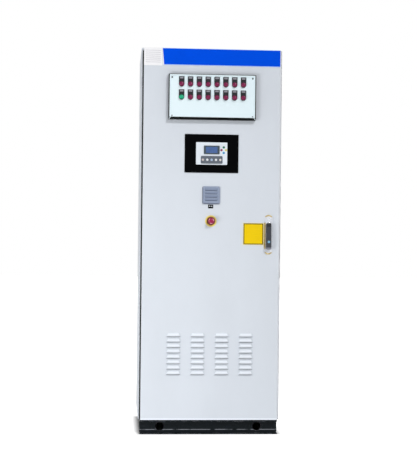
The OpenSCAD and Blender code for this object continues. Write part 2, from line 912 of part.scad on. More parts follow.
// The round form of a louvre, reaching back through the sheet by an amount
module louvre_form(inset, below, back) {
    bow_r = (louvre_h * louvre_h + louvre_d * louvre_d) / (2 * louvre_d);
    intersection() {
        facing(0, back, 0) linear_extrude(back + louvre_d) louvre_outline(inset, below);
        translate([-louvre_w, bow_r - louvre_d, 0])
            rotate([0, 90, 0]) cylinder(r = bow_r - inset, h = 2 * louvre_w);
    }
}

// Repeats a shape at every louvre of a bank
module louvre_bank() {
    for (c = [0 : louvre_columns - 1], r = [0 : louvre_rows - 1])
        translate([(c - (louvre_columns - 1) / 2) * louvre_pitch_x, 0, r * louvre_pitch_z])
            children();
}

// A pan with a bank of louvres that open downwards
module louvred_pan(w, h, depth, bank_z) {
    difference() {
        union() {
            pan(w, h, depth);
            translate([0, -depth, bank_z]) louvre_bank() louvre_form(0, 0, sheet_t / 2);
        }
        translate([0, -depth, bank_z]) louvre_bank() louvre_form(sheet_t, past, sheet_t + past);
    }
}

module rear_panel() {
    color(powder_grey)
        translate([0, frame_rear, panel_z])
            rotate([0, 0, 180]) louvred_pan(frame_w - 2 * panel_play, panel_h, panel_t, rear_bank_z);
}

module roof_panel() {
    color(powder_grey)
        translate([0, frame_front, frame_top])
            rotate([-90, 0, 0]) pan(frame_w - 2 * panel_play, frame_d - panel_play, roof_h);
}

module floor_plate() {
    color(zinc) difference() {
        span([-inner_x, inner_x], [rail_front, rail_rear], [floor_z, floor_top]);
        span([-1, 1] * (gland_plate_w / 2 - gland_lap),
             [gland_y - gland_plate_d / 2 + gland_lap, gland_y + gland_plate_d / 2 - gland_lap],
             [floor_z - past, floor_top + past]);
    }
}

// A cable gland standing on the gland plate, its thread below
module cable_gland() {
    difference() {
        union() {
            cylinder(r = gland_hex_r, h = gland_hex_h, $fn = 6);
            translate([0, 0, gland_hex_h]) cylinder(r = gland_thread_r, h = gland_cap_h);
            translate([0, 0, -gland_thread_l]) cylinder(r = gland_thread_r, h = gland_thread_l);
        }
        translate([0, 0, -gland_thread_l - past])
            cylinder(r = gland_bore_r, h = gland_thread_l + gland_hex_h + gland_cap_h + 2 * past);
    }
}

module cable_glands() {
    color(zinc) difference() {
        span([-1, 1] * gland_plate_w / 2,
             [gland_y - gland_plate_d / 2, gland_y + gland_plate_d / 2],
             [floor_top, gland_top]);
        for (x = gland_places)
            translate([x, gland_y, floor_top - past])
                cylinder(r = gland_thread_r + panel_play, h = gland_plate_t + 2 * past);
    }
    color(moulded_black)
        for (x = gland_places) translate([x, gland_y, gland_top + panel_play]) cable_gland();
}

module rim_seal() {
    color(rubber_black) difference() {
        facing(0, frame_front, 0) linear_extrude(door_rim_gap - seal_gap) difference() {
            translate([panel_play - frame_x, base_z + panel_play])
                square([frame_w - 2 * panel_play, frame_h - 2 * panel_play]);
            translate([panel_play + seal_w - frame_x, base_z + panel_play + seal_w])
                square([frame_w - 2 * (panel_play + seal_w), frame_h - 2 * (panel_play + seal_w)]);
        }
        for (z = hinge_heights)
            span([-frame_x, hinge_x + hinge_leaf_t / 2 + past], [door_back, frame_front + past],
                 [z - hinge_barrel - past, z + past]);
    }
}

// The cabinet's half of each hinge: barrel, pin and leaf
module hinge_pins() {
    color(moulded_black) for (z = hinge_heights) translate([hinge_x, hinge_y, z]) {
        translate([0, 0, -hinge_barrel]) cylinder(r = hinge_r, h = hinge_barrel - hinge_gap);
        translate([0, 0, -hinge_barrel]) cylinder(r = hinge_pin_r, h = 2 * hinge_barrel);
        span([-hinge_leaf_t / 2, hinge_leaf_t / 2], [0, frame_front - hinge_y],
             [-hinge_barrel, -hinge_gap]);
    }
}

// The door's half of each hinge: a barrel welded to the door's edge
module hinge_barrels() {
    color(moulded_black) for (z = hinge_heights) translate([hinge_x, hinge_y, z]) difference() {
        union() {
            cylinder(r = hinge_r, h = hinge_barrel);
            span([0, hinge_offset], [-hinge_leaf_t / 2, hinge_leaf_t / 2], [0, hinge_barrel]);
        }
        translate([0, 0, -past]) cylinder(r = hinge_pin_r + hinge_fit, h = hinge_barrel + 2 * past);
    }
}

module mounting_plate() {
    color(zinc) difference() {
        span([-inner_x, inner_x], [plate_y, plate_y + plate_fold], [plate_z, plate_top]);
        span([plate_t - inner_x, inner_x - plate_t], [plate_y + plate_t, plate_y + plate_fold + past],
             [plate_z - past, plate_top + past]);
    }
}

// Front view of the transformer's core, its foot at the origin
module core_outline() {
    window_w = (core_w - 3 * core_limb) / 2;
    difference() {
        translate([-core_w / 2, 0]) square([core_w, core_h]);
        for (x = [-window_w - core_limb / 2, core_limb / 2])
            translate([x, core_limb]) square([window_w, core_h - 2 * core_limb]);
    }
}

// A clamping angle along the core's lower front edge
module clamping_angle() {
    along_x(-core_w / 2, core_w) difference() {
        translate([-core_d / 2 - angle_w, 0]) square([angle_w, angle_w]);
        translate([-core_d / 2 - angle_w, angle_t])
            square([angle_w - angle_t, angle_w]);
    }
}

module transformer_core() {
    color("#54585E") translate([transformer_x, 0, floor_top]) {
        facing(0, core_d / 2, 0) linear_extrude(core_d) core_outline();
        for (turn = [0, 1], tip = [0, 1])
            mirror([0, turn, 0])
                translate([0, 0, tip * core_h]) mirror([0, 0, tip]) clamping_angle();
    }
}

// A coil wound round an upright limb
module coil(limb_w, limb_d, build, h) {
    bore_w = limb_w + 2 * coil_play;
    bore_d = limb_d + 2 * coil_play;
    linear_extrude(h) difference() {
        round_outline(bore_w + 2 * build, bore_d + 2 * build, build);
        square([bore_w, bore_d], center = true);
    }
}

module transformer_coils() {
    color("#8C3B22") for (limb = [-1, 0, 1])
        translate([transformer_x + limb * coil_pitch, 0, floor_top + core_limb + coil_end_gap])
            coil(core_limb, core_d, coil_build, core_h - 2 * (core_limb + coil_end_gap));
}

module smoothing_choke() {
    color("#5E6268") facing(choke_x, choke_d / 2, floor_top)
        linear_extrude(choke_d) difference() {
            translate([-choke_w / 2, 0]) square([choke_w, choke_h]);
            for (side = [0, 1]) mirror([side, 0])
                translate([choke_limb / 2, choke_limb])
                    square([choke_w / 2 - choke_limb, choke_h - 2 * choke_limb]);
        }
    color("#8C3B22")
        translate([choke_x, 0, floor_top + choke_limb + coil_end_gap])
            coil(choke_limb, choke_d, choke_build, choke_h - 2 * (choke_limb + coil_end_gap));
}

// Plan of the heatsink: fins towards the mounting plate, base at the front
module heatsink_plan() {
    pitch = (heatsink_w - fin_t) / (fin_count - 1);
    translate([-heatsink_w / 2, -fin_d - heatsink_base]) square([heatsink_w, heatsink_base]);
    for (i = [0 : fin_count - 1])
        translate([-heatsink_w / 2 + i * pitch, -fin_d]) square([fin_t, fin_d]);
}

module rectifier_heatsink() {
    color("#A9ADB2") translate([heatsink_x, plate_y, heatsink_z])
        linear_extrude(heatsink_h) heatsink_plan();
}

module thyristor_modules() {
    color(moulded_black) for (i = [-1, 0, 1])
        facing(i * module_pitch + heatsink_x, heatsink_front, module_z)
            linear_extrude(module_d) round_outline(module_w, module_h, fold_r);
}

module filter_capacitors() {
    color("#2F4F7A") for (x = capacitor_places) facing(x, plate_y, capacitor_z) {
        cylinder(r = capacitor_r, h = capacitor_l);
        cylinder(r = capacitor_r + clamp_w, h = clamp_l);
        for (y = [-1, 1] * terminal_pitch / 2)
            translate([0, y, capacitor_l]) cylinder(r = terminal_r, h = terminal_l);
    }
}

// A busbar set: a bar over the capacitors, a bar over the modules and a link
module busbar(cap_z, mod_z, left, right, link_x) {
    cap_y = plate_y - capacitor_l - terminal_l;
    mod_y = heatsink_front - module_d;
    span([min(left[0], link_x), max(right[0], link_x + bar_w)], [cap_y - bar_t, cap_y],
         [cap_z - bar_w / 2, cap_z + bar_w / 2]);
    span([min(left[1], link_x), max(right[1], link_x + bar_w)], [mod_y - bar_t, mod_y],
         [mod_z - bar_w / 2, mod_z + bar_w / 2]);
    along_x(link_x, bar_w) polygon([
        [cap_y - bar_t, cap_z + bar_w / 2], [cap_y, cap_z + bar_w / 2],
        [cap_y, mod_z + bar_t], [mod_y, mod_z + bar_t],
        [mod_y, mod_z], [cap_y - bar_t, mod_z]]);
}

module busbars() {
    first = capacitor_places[0];
    last = capacitor_places[capacitor_count - 1];
    first_module = heatsink_x - module_pitch;
    last_module = heatsink_x + module_pitch;
    color(copper) {
        busbar(capacitor_z + terminal_pitch / 2, module_z + module_h / 2 - bar_w,
               [first - bar_w, first_module - bar_w / 2],
               [last + bar_w / 2, last_module + bar_w / 2],
               first - 2 * bar_w);
        busbar(capacitor_z - terminal_pitch / 2, module_z - module_h / 2 + bar_w,
               [first - bar_w / 2, first_module - bar_w / 2],
               [last + bar_w / 2, last_module + bar_w / 2],
               last + bar_w);
    }
}

// A circuit breaker's case with the slot that its toggle turns in
module breaker_case() {
    pivot = breaker_d + nose_d - toggle_depth;
    half_slot = toggle_r + toggle_play;
    difference() {
        union() {
            linear_extrude(breaker_d) round_outline(breaker_w, breaker_h, fold_r);
            linear_extrude(breaker_d + nose_d) round_outline(nose_w, nose_h, fold_r);
        }
        translate([-toggle_w / 2 - toggle_play, -half_slot, pivot - half_slot])
            cube([toggle_w + 2 * toggle_play, 2 * half_slot, toggle_depth + half_slot + past]);
        translate([-toggle_w / 2 - toggle_play - trunnion_l, 0, pivot])
            rotate([0, 90, 0])
                cylinder(r = trunnion_r + trunnion_fit,
                         h = toggle_w + 2 * (toggle_play + trunnion_l));
    }
}

module switchgear_cases() {
    color(moulded_black) {
        for (x = [-1, 1] * breaker_x) facing(x, plate_y, switchgear_z) breaker_case();
        facing(0, plate_y, switchgear_z) {
            linear_extrude(contactor_d / 2) round_outline(contactor_w, contactor_h, fold_r);
            linear_extrude(contactor_d)
                round_outline(contactor_w - 2 * contactor_step, contactor_h - 4 * contactor_step, fold_r);
        }
    }
}

// A breaker's toggle on its trunnions, standing in the on position
module toggle(x) {
    color("#D8D9DB") facing(x, toggle_y, switchgear_z) rotate([-toggle_swing, 0, 0]) {
        translate([-toggle_w / 2, 0, 0]) rotate([0, 90, 0]) cylinder(r = toggle_r, h = toggle_w);
        translate([-toggle_w / 2 - trunnion_l, 0, 0])
            rotate([0, 90, 0]) cylinder(r = trunnion_r, h = toggle_w + 2 * trunnion_l);
        translate([-toggle_w / 2, -toggle_t / 2, 0])
            cube([toggle_w, toggle_t, toggle_l - toggle_t / 2]);
        translate([-toggle_w / 2, 0, toggle_l - toggle_t / 2])
            rotate([0, 90, 0]) cylinder(r = toggle_t / 2, h = toggle_w);
    }
}

module input_toggle() {
    toggle(-breaker_x);
}

module output_toggle() {
    toggle(breaker_x);
}

// A slotted wiring duct across the mounting plate
module duct(z) {
    half = inner_x - duct_end_gap;
    slots = floor((2 * half - duct_slot_pitch) / duct_slot_pitch);
    difference() {
        span([-half, half], [plate_y - duct_d, plate_y], [z - duct_h / 2, z + duct_h / 2]);
        span([-half - past, half + past], [plate_y - duct_d + duct_wall, plate_y - duct_wall],
             [z - duct_h / 2 + duct_wall, z + duct_h / 2 - duct_wall]);
        for (i = [0 : slots]) translate([(i - slots / 2) * duct_slot_pitch, 0, 0])
            span([-1, 1] * duct_slot_w / 2, [plate_y - duct_d + duct_end_gap, plate_y - duct_end_gap],
                 [z - duct_h, z + duct_h]);
    }
}

module wiring_ducts() {
    color("#9CA1A8") for (z = [low_duct_z, mid_duct_z, high_duct_z, top_duct_z]) duct(z);
}

module terminal_strip() {
    row_w = way_w * way_count;
    color(zinc) span([-1, 1] * (row_w / 2 + way_w), [plate_y - din_h, plate_y],
                     [terminals_z - din_w / 2, terminals_z + din_w / 2]);
    color("#C9BFA6") difference() {
        span([-1, 1] * row_w / 2, [plate_y - din_h - way_d, plate_y - din_h],
             [terminals_z - way_h / 2, terminals_z + way_h / 2]);
        for (i = [1 : way_count - 1]) translate([(i - way_count / 2) * way_w, 0, 0])
            span([-1, 1] * way_groove / 2, [plate_y - din_h - way_d - past, plate_y - din_h - way_d / 2],
                 [terminals_z - way_h, terminals_z + way_h]);
    }
}

module control_board() {
    color("#2C6B45") facing(board_x, plate_y, module_z) {
        translate([-board_w / 2, -board_h / 2, board_gap]) cube([board_w, board_h, board_t]);
        for (x = [-1, 1] * (board_w / 2 - 2 * pillar_r), y = [-1, 1] * (board_h / 2 - 2 * pillar_r))
            translate([x, y, 0]) cylinder(r = pillar_r, h = board_gap);
        for (i = [0 : relay_count - 1])
            translate([i * relay_pitch - board_w / 2 + relay_pitch / 2, board_h / 2 - relay_l * 2,
                       board_gap + board_t])
                cube([relay_w, relay_l, relay_h]);
    }
}

// Cut-outs in the door for everything that passes through it
module door_cutouts() {
    window_w = (lamp_columns - 1) * lamp_pitch_x + 2 * (lamp_body_r + lamp_margin);
    window_h = (lamp_rows - 1) * lamp_pitch_z + 2 * (lamp_body_r + lamp_margin);
    facing(0, door_inside + past, 0) linear_extrude(sheet_t + 2 * past) {
        translate([0, indicator_z + lamp_rise]) square([window_w, window_h], center = true);
        translate([0, controller_z]) square([body_w, body_h] + 2 * panel_play * [1, 1], center = true);
        translate([0, sounder_z]) square((sounder_body + 2 * panel_play) * [1, 1], center = true);
        translate([0, stop_z]) circle(stop_barrel_r + stop_barrel_play);
        translate([handle_x, pivot_z]) circle(hub_r + past);
    }
}

module door() {
    color(powder_grey) difference() {
        translate([0, door_back, door_z0]) louvred_pan(door_w, door_h, door_t, louvre_rise);
        door_cutouts();
    }
}

// A guide that holds a rod against the door
module rod_guide(x, z) {
    difference() {
        span([x - rod_w / 2 - guide_t, x + rod_w / 2 + guide_t],
             [door_inside, rod_rear + rod_play + guide_t], [z - guide_l / 2, z + guide_l / 2]);
        span([x - rod_w / 2 - rod_play, x + rod_w / 2 + rod_play],
             [rod_front - rod_play, rod_rear + rod_play], [z - guide_l, z + guide_l]);
    }
}

module door_stiffeners() {
    upper_step = (upper_roller_z - guide_far - pivot_z - guide_near) / (guide_count - 1);
    lower_step = (pivot_z - guide_near - lower_roller_z - guide_far) / (guide_count - 1);
    color(zinc) {
        both_sides() difference() {
            span([stiffener_x - stiffener_w / 2, stiffener_x + stiffener_w / 2],
                 [door_inside, door_inside + stiffener_d],
                 [door_z0 + stiffener_end, door_z1 - stiffener_end]);
            span([stiffener_x - stiffener_w / 2 + sheet_t, stiffener_x + stiffener_w / 2 - sheet_t],
                 [door_inside - past, door_inside + stiffener_d - sheet_t],
                 [door_z0, door_z1]);
        }
        for (i = [0 : guide_count - 1]) {
            rod_guide(handle_x + rod_offset, pivot_z + guide_near + i * upper_step);
            rod_guide(handle_x - rod_offset, pivot_z - guide_near - i * lower_step);
        }
    }
}

module header_strip() {
    color("#0050E6") facing(0, door_front, 0) linear_extrude(label_t)
        translate([header_left - door_x, door_z1 - header_h]) square([door_w - header_left, header_h]);
}

module corner_label() {
    color("#EDEDF1") facing(0, door_front, 0) linear_extrude(label_t)
        translate([-door_x, door_z1 - label_h]) square([label_w, label_h]);
}

module indicator_frame() {
    opening_w = indicator_w - 2 * indicator_edge;
    opening_h = indicator_h - 2 * indicator_edge;
    color(moulded_black) facing(0, door_front, indicator_z) difference() {
        linear_extrude(indicator_d) square([indicator_w, indicator_h], center = true);
        translate([0, 0, indicator_d - indicator_recess - indicator_plate_t])
            linear_extrude(indicator_d) square([opening_w, opening_h], center = true);
        translate([0, 0, -past]) linear_extrude(indicator_d)
            square([opening_w, opening_h] - 2 * indicator_ledge * [1, 1], center = true);
    }
}

module indicator_plate() {
    play = 2 * (indicator_edge + indicator_play);
    color("#E6F6FC") facing(0, plate_back, 0) linear_extrude(indicator_plate_t) difference() {
        translate([0, indicator_z]) square([indicator_w - play, indicator_h - play], center = true);
        for (place = lamp_places) translate(place) circle(lamp_body_r + lamp_play);
    }
}

// A lamp's legend holder in front of the plate and its body behind
module lamp_holder() {
    linear_extrude(holder_t) {
        circle(holder_w / 2);
        translate([-holder_w / 2, 0]) square([holder_w, holder_rise]);
    }
    translate([0, 0, -lamp_body_l]) cylinder(r = lamp_body_r, h = lamp_body_l);
}

module lamp_holders() {
    color(moulded_black) for (place = lamp_places)
        facing(place[0], plate_front, place[1]) lamp_holder();
}

module lamp_lens(i) {
    facing(lamp_places[i][0], lens_seat, lamp_places[i][1]) lens(lens_r, lens_skirt, lens_dome);
}

module red_lenses() {
    color("#92305C") for (i = [0 : len(lamp_places) - 1]) if (i != green_place) lamp_lens(i);
}

module green_lens() {
    color("#1FA87A") lamp_lens(green_place);
}

module controller_surround() {
    color("#15171A") facing(0, door_front, controller_z) linear_extrude(surround_t) difference() {
        round_outline(surround_w, surround_h, fold_r);
        square([body_w, body_h] + 2 * panel_play * [1, 1], center = true);
    }
}

module controller_case() {
    color("#E4EBF3") facing(0, surround_front, controller_z) difference() {
        union() {
            linear_extrude(controller_t) round_outline(controller_w, controller_h, fold_r);
            translate([0, 0, -controller_d - surround_t]) linear_extrude(controller_d + surround_t)
                square([body_w, body_h], center = true);
        }
        for (x = key_places) translate([x, -keypad_drop, controller_t - key_pocket])
            cylinder(r = key_r + key_play, h = key_pocket + past);
    }
}

module display_bezel() {
    color("#56666F") facing(0, face_front, controller_z + bezel_rise) difference() {
        linear_extrude(bezel_t) round_outline(bezel_w, bezel_h, fold_r);
        translate([0, 0, bezel_t - window_d]) linear_extrude(bezel_t)
            square([window_w, window_h], center = true);
    }
}

module status_lenses() {
    colours = ["#3FAE6A", "#E8D98A", "#3C6FB8", "#7A2A3C"];
    for (i = [0 : 3]) color(colours[i])
        facing(status_offset + status_half_w * sin(90 * i), face_front,
               controller_z + bezel_rise + status_half_h * cos(90 * i))
            lens(status_r, status_r / 3, status_r / 2);
}

module keypad_strip() {
    color("#6B737C") facing(0, face_front, keypad_z) linear_extrude(keypad_t) difference() {
        round_outline(keypad_w, keypad_h, 2 * fold_r);
        for (x = key_places) translate([x, 0]) circle(key_r + key_play);
    }
}

// One key of the keypad, with its back in its pocket
module key(i) {
    back = key_pocket - key_travel - key_play;
    color("#D9DEE4") facing(key_places[i], face_front + back, keypad_z)
        lens(key_r, back + keypad_t + key_proud - key_r / 6, key_r / 6);
}

module key_1() {
    key(0);
}

module key_2() {
    key(1);
}

module key_3() {
    key(2);
}

module key_4() {
    key(3);
}

module key_5() {
    key(4);
}

module sounder() {
    color("#8F9BB3") facing(0, door_front, sounder_z) difference() {
        union() {
            linear_extrude(sounder_t) round_outline(sounder_w, sounder_w, 2 * fold_r);
            linear_extrude(sounder_t + grille_t) round_outline(grille_w, grille_w, 2 * fold_r);
            translate([0, 0, -sounder_d]) linear_extrude(sounder_d)
                square(sounder_body, center = true);
        }
        for (i = [0 : grille_slots - 1])
            translate([0, (i - (grille_slots - 1) / 2) * grille_pitch, sounder_t])
                linear_extrude(grille_t + past)
                    square([grille_w - 2 * grille_slot_h, grille_slot_h], center = true);
    }
}

module yellow_placard() {
    color("#F2CC08") facing(placard_x, door_front, placard_z) linear_extrude(label_t)
        round_outline(placard_w, placard_h, fold_r);
}

module stop_button_disc() {
    color("#F0D860") facing(0, door_front, stop_z) linear_extrude(stop_disc_t) difference() {
        circle(stop_disc_r);
        circle(stop_barrel_r + stop_barrel_play);
    }
}

module stop_button_body() {
    barrel_l = barrel_back - collar_seat;
    color(moulded_black) facing(0, collar_seat, stop_z) difference() {
        union() {
            cylinder(r = stop_collar_r, h = stop_collar_h / 2);
            translate([0, 0, stop_collar_h / 2])
                cylinder(r1 = stop_collar_r, r2 = stop_collar_r - fold_r, h = stop_collar_h / 2);
            translate([0, 0, -barrel_l]) cylinder(r = stop_barrel_r, h = barrel_l);
            translate([0, 0, -barrel_l - stop_block_d]) linear_extrude(stop_block_d)
                square([stop_block_w, stop_block_h], center = true);
        }
        translate([0, 0, -barrel_l])
            cylinder(r = stop_plunger_r + stop_fit, h = barrel_l + stop_collar_h + past);
    }
}

module stop_plunger() {
    back = barrel_back - stop_travel - stop_spare;
    color(zinc) facing(0, back, stop_z)
        cylinder(r = stop_plunger_r, h = back - head_back + stop_head_h / 2);
}

module stop_head() {
    flare_h = stop_head_h / 4;
    color("#B01838") facing(0, head_back, stop_z) difference() {
        union() {
            cylinder(r1 = stop_collar_r - fold_r, r2 = stop_head_r, h = flare_h);
            translate([0, 0, flare_h]) lens(stop_head_r, flare_h, stop_head_h / 2);
        }
        translate([0, 0, -past])
            cylinder(r = stop_plunger_r + stop_fit, h = stop_head_h / 2 + past + panel_play);
    }
}

module handle_escutcheon() {
    color("#D9DCDD") difference() {
        facing(handle_x, door_front, pivot_z - escutcheon_drop) difference() {
            linear_extrude(escutcheon_t + escutcheon_rim) obround(escutcheon_w, escutcheon_h);
            translate([0, 0, escutcheon_t]) linear_extrude(escutcheon_rim + past)
                obround(escutcheon_w - 2 * escutcheon_rim_w, escutcheon_h - 2 * escutcheon_rim_w);
        }
        facing(handle_x, door_front + past, pivot_z)
            cylinder(r = hub_r + handle_fit, h = escutcheon_t + 2 * past);
    }
}

// Angle in degrees that an involute has unrolled at a pressure angle
function unrolled(angle) = tan(angle) * 180 / PI - angle;

// Half the angle that a pinion tooth fills at a radius
function tooth_half_angle(r) =
    90 / pinion_teeth - gear_backlash / 4 / pitch_r * 180 / PI + unrolled(pressure_angle)
    - unrolled(acos(min(1, pitch_r * cos(pressure_angle) / r)));

// The pinion, with a tooth towards each rack
module pinion_outline() {
    root_r = pitch_r - tooth_dedendum * gear_module;
    tip_r = pitch_r + tooth_addendum * gear_module;
    radii = [for (k = [0 : 4]) root_r + k * (tip_r - root_r) / 4];
    polygon([for (tooth = [0 : pinion_teeth - 1], k = [0 : 9])
        let (r = radii[k < 5 ? k : 9 - k],
             angle = tooth * 360 / pinion_teeth + (k < 5 ? -1 : 1) * tooth_half_angle(r))
        r * [cos(angle), sin(angle)]]);
}

// The end of a rod that the pinion drives: teeth towards -X, the bar beyond
module rack_outline(length) {
    pitch = PI * gear_module;
    addendum = tooth_addendum * gear_module - gear_backlash / 2;
    half = pitch / 4 - gear_backlash / 4;
    slope = tan(pressure_angle);
    dedendum = rack_face - pitch_r;
    translate([rack_face, -pitch]) square([rod_w, length + pitch]);
    for (k = [-1 : ceil(rod_travel / pitch)]) translate([pitch_r, (k + 0.5) * pitch]) polygon([
        [-addendum, addendum * slope - half], [dedendum + past, -dedendum * slope - half],
        [dedendum + past, half + dedendum * slope], [-addendum, half - addendum * slope]]);
}

// A locking rod with its rack at the pinion and its roller at the far end
module locking_rod(length) {
    facing(0, rod_rear, 0) linear_extrude(rod_t) rack_outline(length);
    translate([rack_face, (rod_front + rod_rear) / 2, length])
        rotate([0, 90, 0]) cylinder(r = roller_r, h = rod_w);
}

module upper_rod() {
    color(zinc) translate([handle_x, 0, pivot_z]) locking_rod(upper_roller_z - pivot_z);
}

module lower_rod() {
    color(zinc) translate([handle_x, 0, pivot_z])
        rotate([0, 180, 0]) locking_rod(pivot_z - lower_roller_z);
}

module handle_hub() {
    head_back = escutcheon_front - hub_gap;
    head_front = lever_back + hub_gap;
    color("#C4C8CC") translate([handle_x, 0, pivot_z]) difference() {
        union() {
            facing(0, head_back, 0) cylinder(r = hub_head_r, h = head_back - head_front);
            facing(0, rod_rear, 0) cylinder(r = hub_r, h = rod_rear - head_front);
            facing(0, rod_rear + hub_gap, 0)
                linear_extrude(rod_t + 2 * hub_gap) pinion_outline();
            span([-1, 1] * tongue_w / 2, [lever_axis_y, head_front + hub_gap],
                 [-tongue_r, tongue_r - tongue_wall]);
            translate([-tongue_w / 2, lever_axis_y, 0])
                rotate([0, 90, 0]) cylinder(r = tongue_r, h = tongue_w);
        }
        translate([-tongue_w, lever_axis_y, 0])
            rotate([0, 90, 0]) cylinder(r = lever_pin_r + handle_fit, h = 2 * tongue_w);
    }
}

// How far the lever's front face lies in front of its back, below the pivot
function lever_depth(drop) = 2 * lever_end_r + lever_swell * sin(90 * drop / lever_l);

// Side view of the lever about its pivot, with room for fingers under the grip
module lever_side() {
    relief = lever_swell;
    steps = 12;
    translate([lever_axis_y, 0]) circle(lever_end_r);
    translate([lever_back, 0]) polygon(concat(
        [for (i = [0 : steps]) [-lever_depth(i * lever_l / steps), -i * lever_l / steps]],
        [[-relief, -lever_l], [-relief, grip_l - lever_l], [0, grip_l + 2 * relief - lever_l], [0, 0]]));
}

module handle_lever() {
    slot_r = tongue_r + tongue_play;
    slot_w = tongue_w + 2 * tongue_play;
    color("#44464F") translate([handle_x, 0, pivot_z]) {
        difference() {
            intersection() {
                along_x(-lever_w / 2, lever_w) lever_side();
                facing(0, lever_back + past, (lever_end_r - lever_l) / 2)
                    linear_extrude(lever_depth(lever_l) + 2 * past)
                        round_outline(lever_w, lever_l + lever_end_r, lever_corner_r);
            }
            translate([-slot_w / 2, lever_axis_y, 0])
                rotate([0, 90, 0]) cylinder(r = slot_r, h = slot_w);
            span([-1, 1] * slot_w / 2, [lever_axis_y, lever_back + past],
                 [-slot_r, lever_end_r + past]);
            facing(0, lever_back + past, -lock_drop)
                cylinder(r = lock_r + handle_fit, h = lever_depth(lock_drop) + 2 * past);
        }
        translate([-slot_w / 2 - past, lever_axis_y, 0])
            rotate([0, 90, 0]) cylinder(r = lever_pin_r, h = slot_w + 2 * past);
    }
}

module lock_cylinder() {
    color("#8FC3E0") facing(handle_x, lever_back - lever_swell, pivot_z - lock_drop)
        cylinder(r = lock_r, h = lever_depth(lock_drop) - lever_swell + lock_proud);
}

plinth_front_channel();
plinth_rear_channel();
plinth_side_channels();
front_frame();
rear_frame();
frame_rails();
left_side_panel();
right_side_panel();
rear_panel();
roof_panel();
floor_plate();
cable_glands();
rim_seal();
hinge_pins();
mounting_plate();
transformer_core();
transformer_coils();
smoothing_choke();
rectifier_heatsink();
thyristor_modules();
filter_capacitors();
busbars();
switchgear_cases();
input_toggle();
output_toggle();
wiring_ducts();
terminal_strip();
control_board();
door();
door_stiffeners();
hinge_barrels();
header_strip();
corner_label();
indicator_frame();
indicator_plate();
lamp_holders();
red_lenses();
green_lens();
controller_surround();
controller_case();
display_bezel();
status_lenses();
keypad_strip();
key_1();
key_2();
key_3();
key_4();
key_5();
sounder();
yellow_placard();
stop_button_disc();
stop_button_body();
stop_plunger();
stop_head();
handle_escutcheon();
handle_hub();
handle_lever();
lock_cylinder();
upper_rod();
lower_rod();
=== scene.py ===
import json
import math
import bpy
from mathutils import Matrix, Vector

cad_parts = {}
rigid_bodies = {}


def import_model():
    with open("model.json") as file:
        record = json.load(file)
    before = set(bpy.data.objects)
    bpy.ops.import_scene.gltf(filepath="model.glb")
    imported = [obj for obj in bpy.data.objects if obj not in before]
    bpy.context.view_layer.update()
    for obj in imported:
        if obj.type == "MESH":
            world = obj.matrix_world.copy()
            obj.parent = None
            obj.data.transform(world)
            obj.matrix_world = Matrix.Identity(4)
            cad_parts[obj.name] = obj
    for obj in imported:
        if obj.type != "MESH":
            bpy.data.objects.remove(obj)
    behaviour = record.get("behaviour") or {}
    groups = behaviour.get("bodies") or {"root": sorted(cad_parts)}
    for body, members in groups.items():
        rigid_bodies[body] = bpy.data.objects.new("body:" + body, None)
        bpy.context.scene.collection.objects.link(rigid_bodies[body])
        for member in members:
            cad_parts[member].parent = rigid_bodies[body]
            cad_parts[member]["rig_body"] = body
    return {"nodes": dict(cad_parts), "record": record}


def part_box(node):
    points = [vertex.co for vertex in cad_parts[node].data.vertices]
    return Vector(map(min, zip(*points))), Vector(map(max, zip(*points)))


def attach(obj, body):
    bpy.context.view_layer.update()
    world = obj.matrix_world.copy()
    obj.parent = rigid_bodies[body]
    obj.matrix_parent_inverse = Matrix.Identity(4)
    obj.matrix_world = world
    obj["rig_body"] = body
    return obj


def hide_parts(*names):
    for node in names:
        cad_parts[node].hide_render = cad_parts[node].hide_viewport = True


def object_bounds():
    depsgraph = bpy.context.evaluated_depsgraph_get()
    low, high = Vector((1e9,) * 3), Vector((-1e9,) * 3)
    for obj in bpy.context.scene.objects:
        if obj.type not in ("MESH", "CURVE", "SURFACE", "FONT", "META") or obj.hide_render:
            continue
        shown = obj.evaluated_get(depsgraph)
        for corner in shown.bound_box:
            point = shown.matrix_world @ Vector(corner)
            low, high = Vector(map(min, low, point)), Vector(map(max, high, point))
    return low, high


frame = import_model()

from types import SimpleNamespace

import bmesh
import bpy
from bpy.props import FloatProperty, FloatVectorProperty, IntProperty, PointerProperty
from mathutils import Matrix, Vector

bl_info = {
    "name": "Battery charger cabinet",
    "version": (1, 0, 0),
    "blender": (4, 5, 0),
    "location": "3D View > Sidebar > Charger",
    "description": "Finishes a floor-standing battery charger and sets its stage",
    "category": "Object",
}

MM = 0.001
CAD_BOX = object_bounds()
X, Y, Z = 0, 1, 2
FRONT, REAR, UP = (0.0, -1.0, 0.0), (0.0, 1.0, 0.0), (0.0, 0.0, 1.0)
# Points of a CAD mesh that lie closer than this are one point.
SAME_POINT = 2e-6
# How deep a thin piece is bedded in what carries it.
BED = 0.0001
# The shader's sockets that stay constant over a surface.
SOCKETS = {
    "specular": "Specular IOR Level",
    "coat": "Coat Weight",
    "coat_rough": "Coat Roughness",
    "metallic": "Metallic",
    "ior": "IOR",
}


# Colours and nodes


def linear(code):
    """An sRGB hex colour as linear RGBA."""
    parts = [int(code[i : i + 2], 16) / 255 for i in (1, 3, 5)]
    low = [c / 12.92 if c <= 0.04045 else ((c + 0.055) / 1.055) ** 2.4 for c in parts]
    return (*low, 1.0)


def tone(colour, factor):
    """A linear colour made darker or lighter by a factor."""
    return (*[min(1.0, c * factor) for c in colour[:3]], 1.0)


def add(tree, kind, inputs=None, **settings):
    """Adds a node with its settings, and sets or links each of its inputs."""
    made = tree.nodes.new(kind)
    for name, value in settings.items():
        setattr(made, name, value)
    for socket, value in (inputs or {}).items():
        if isinstance(value, bpy.types.NodeSocket):
            tree.links.new(value, made.inputs[socket])
        else:
            made.inputs[socket].default_value = value
    return made


# Surfaces: each starts from one grain, and is then tinted, scuffed or drawn on


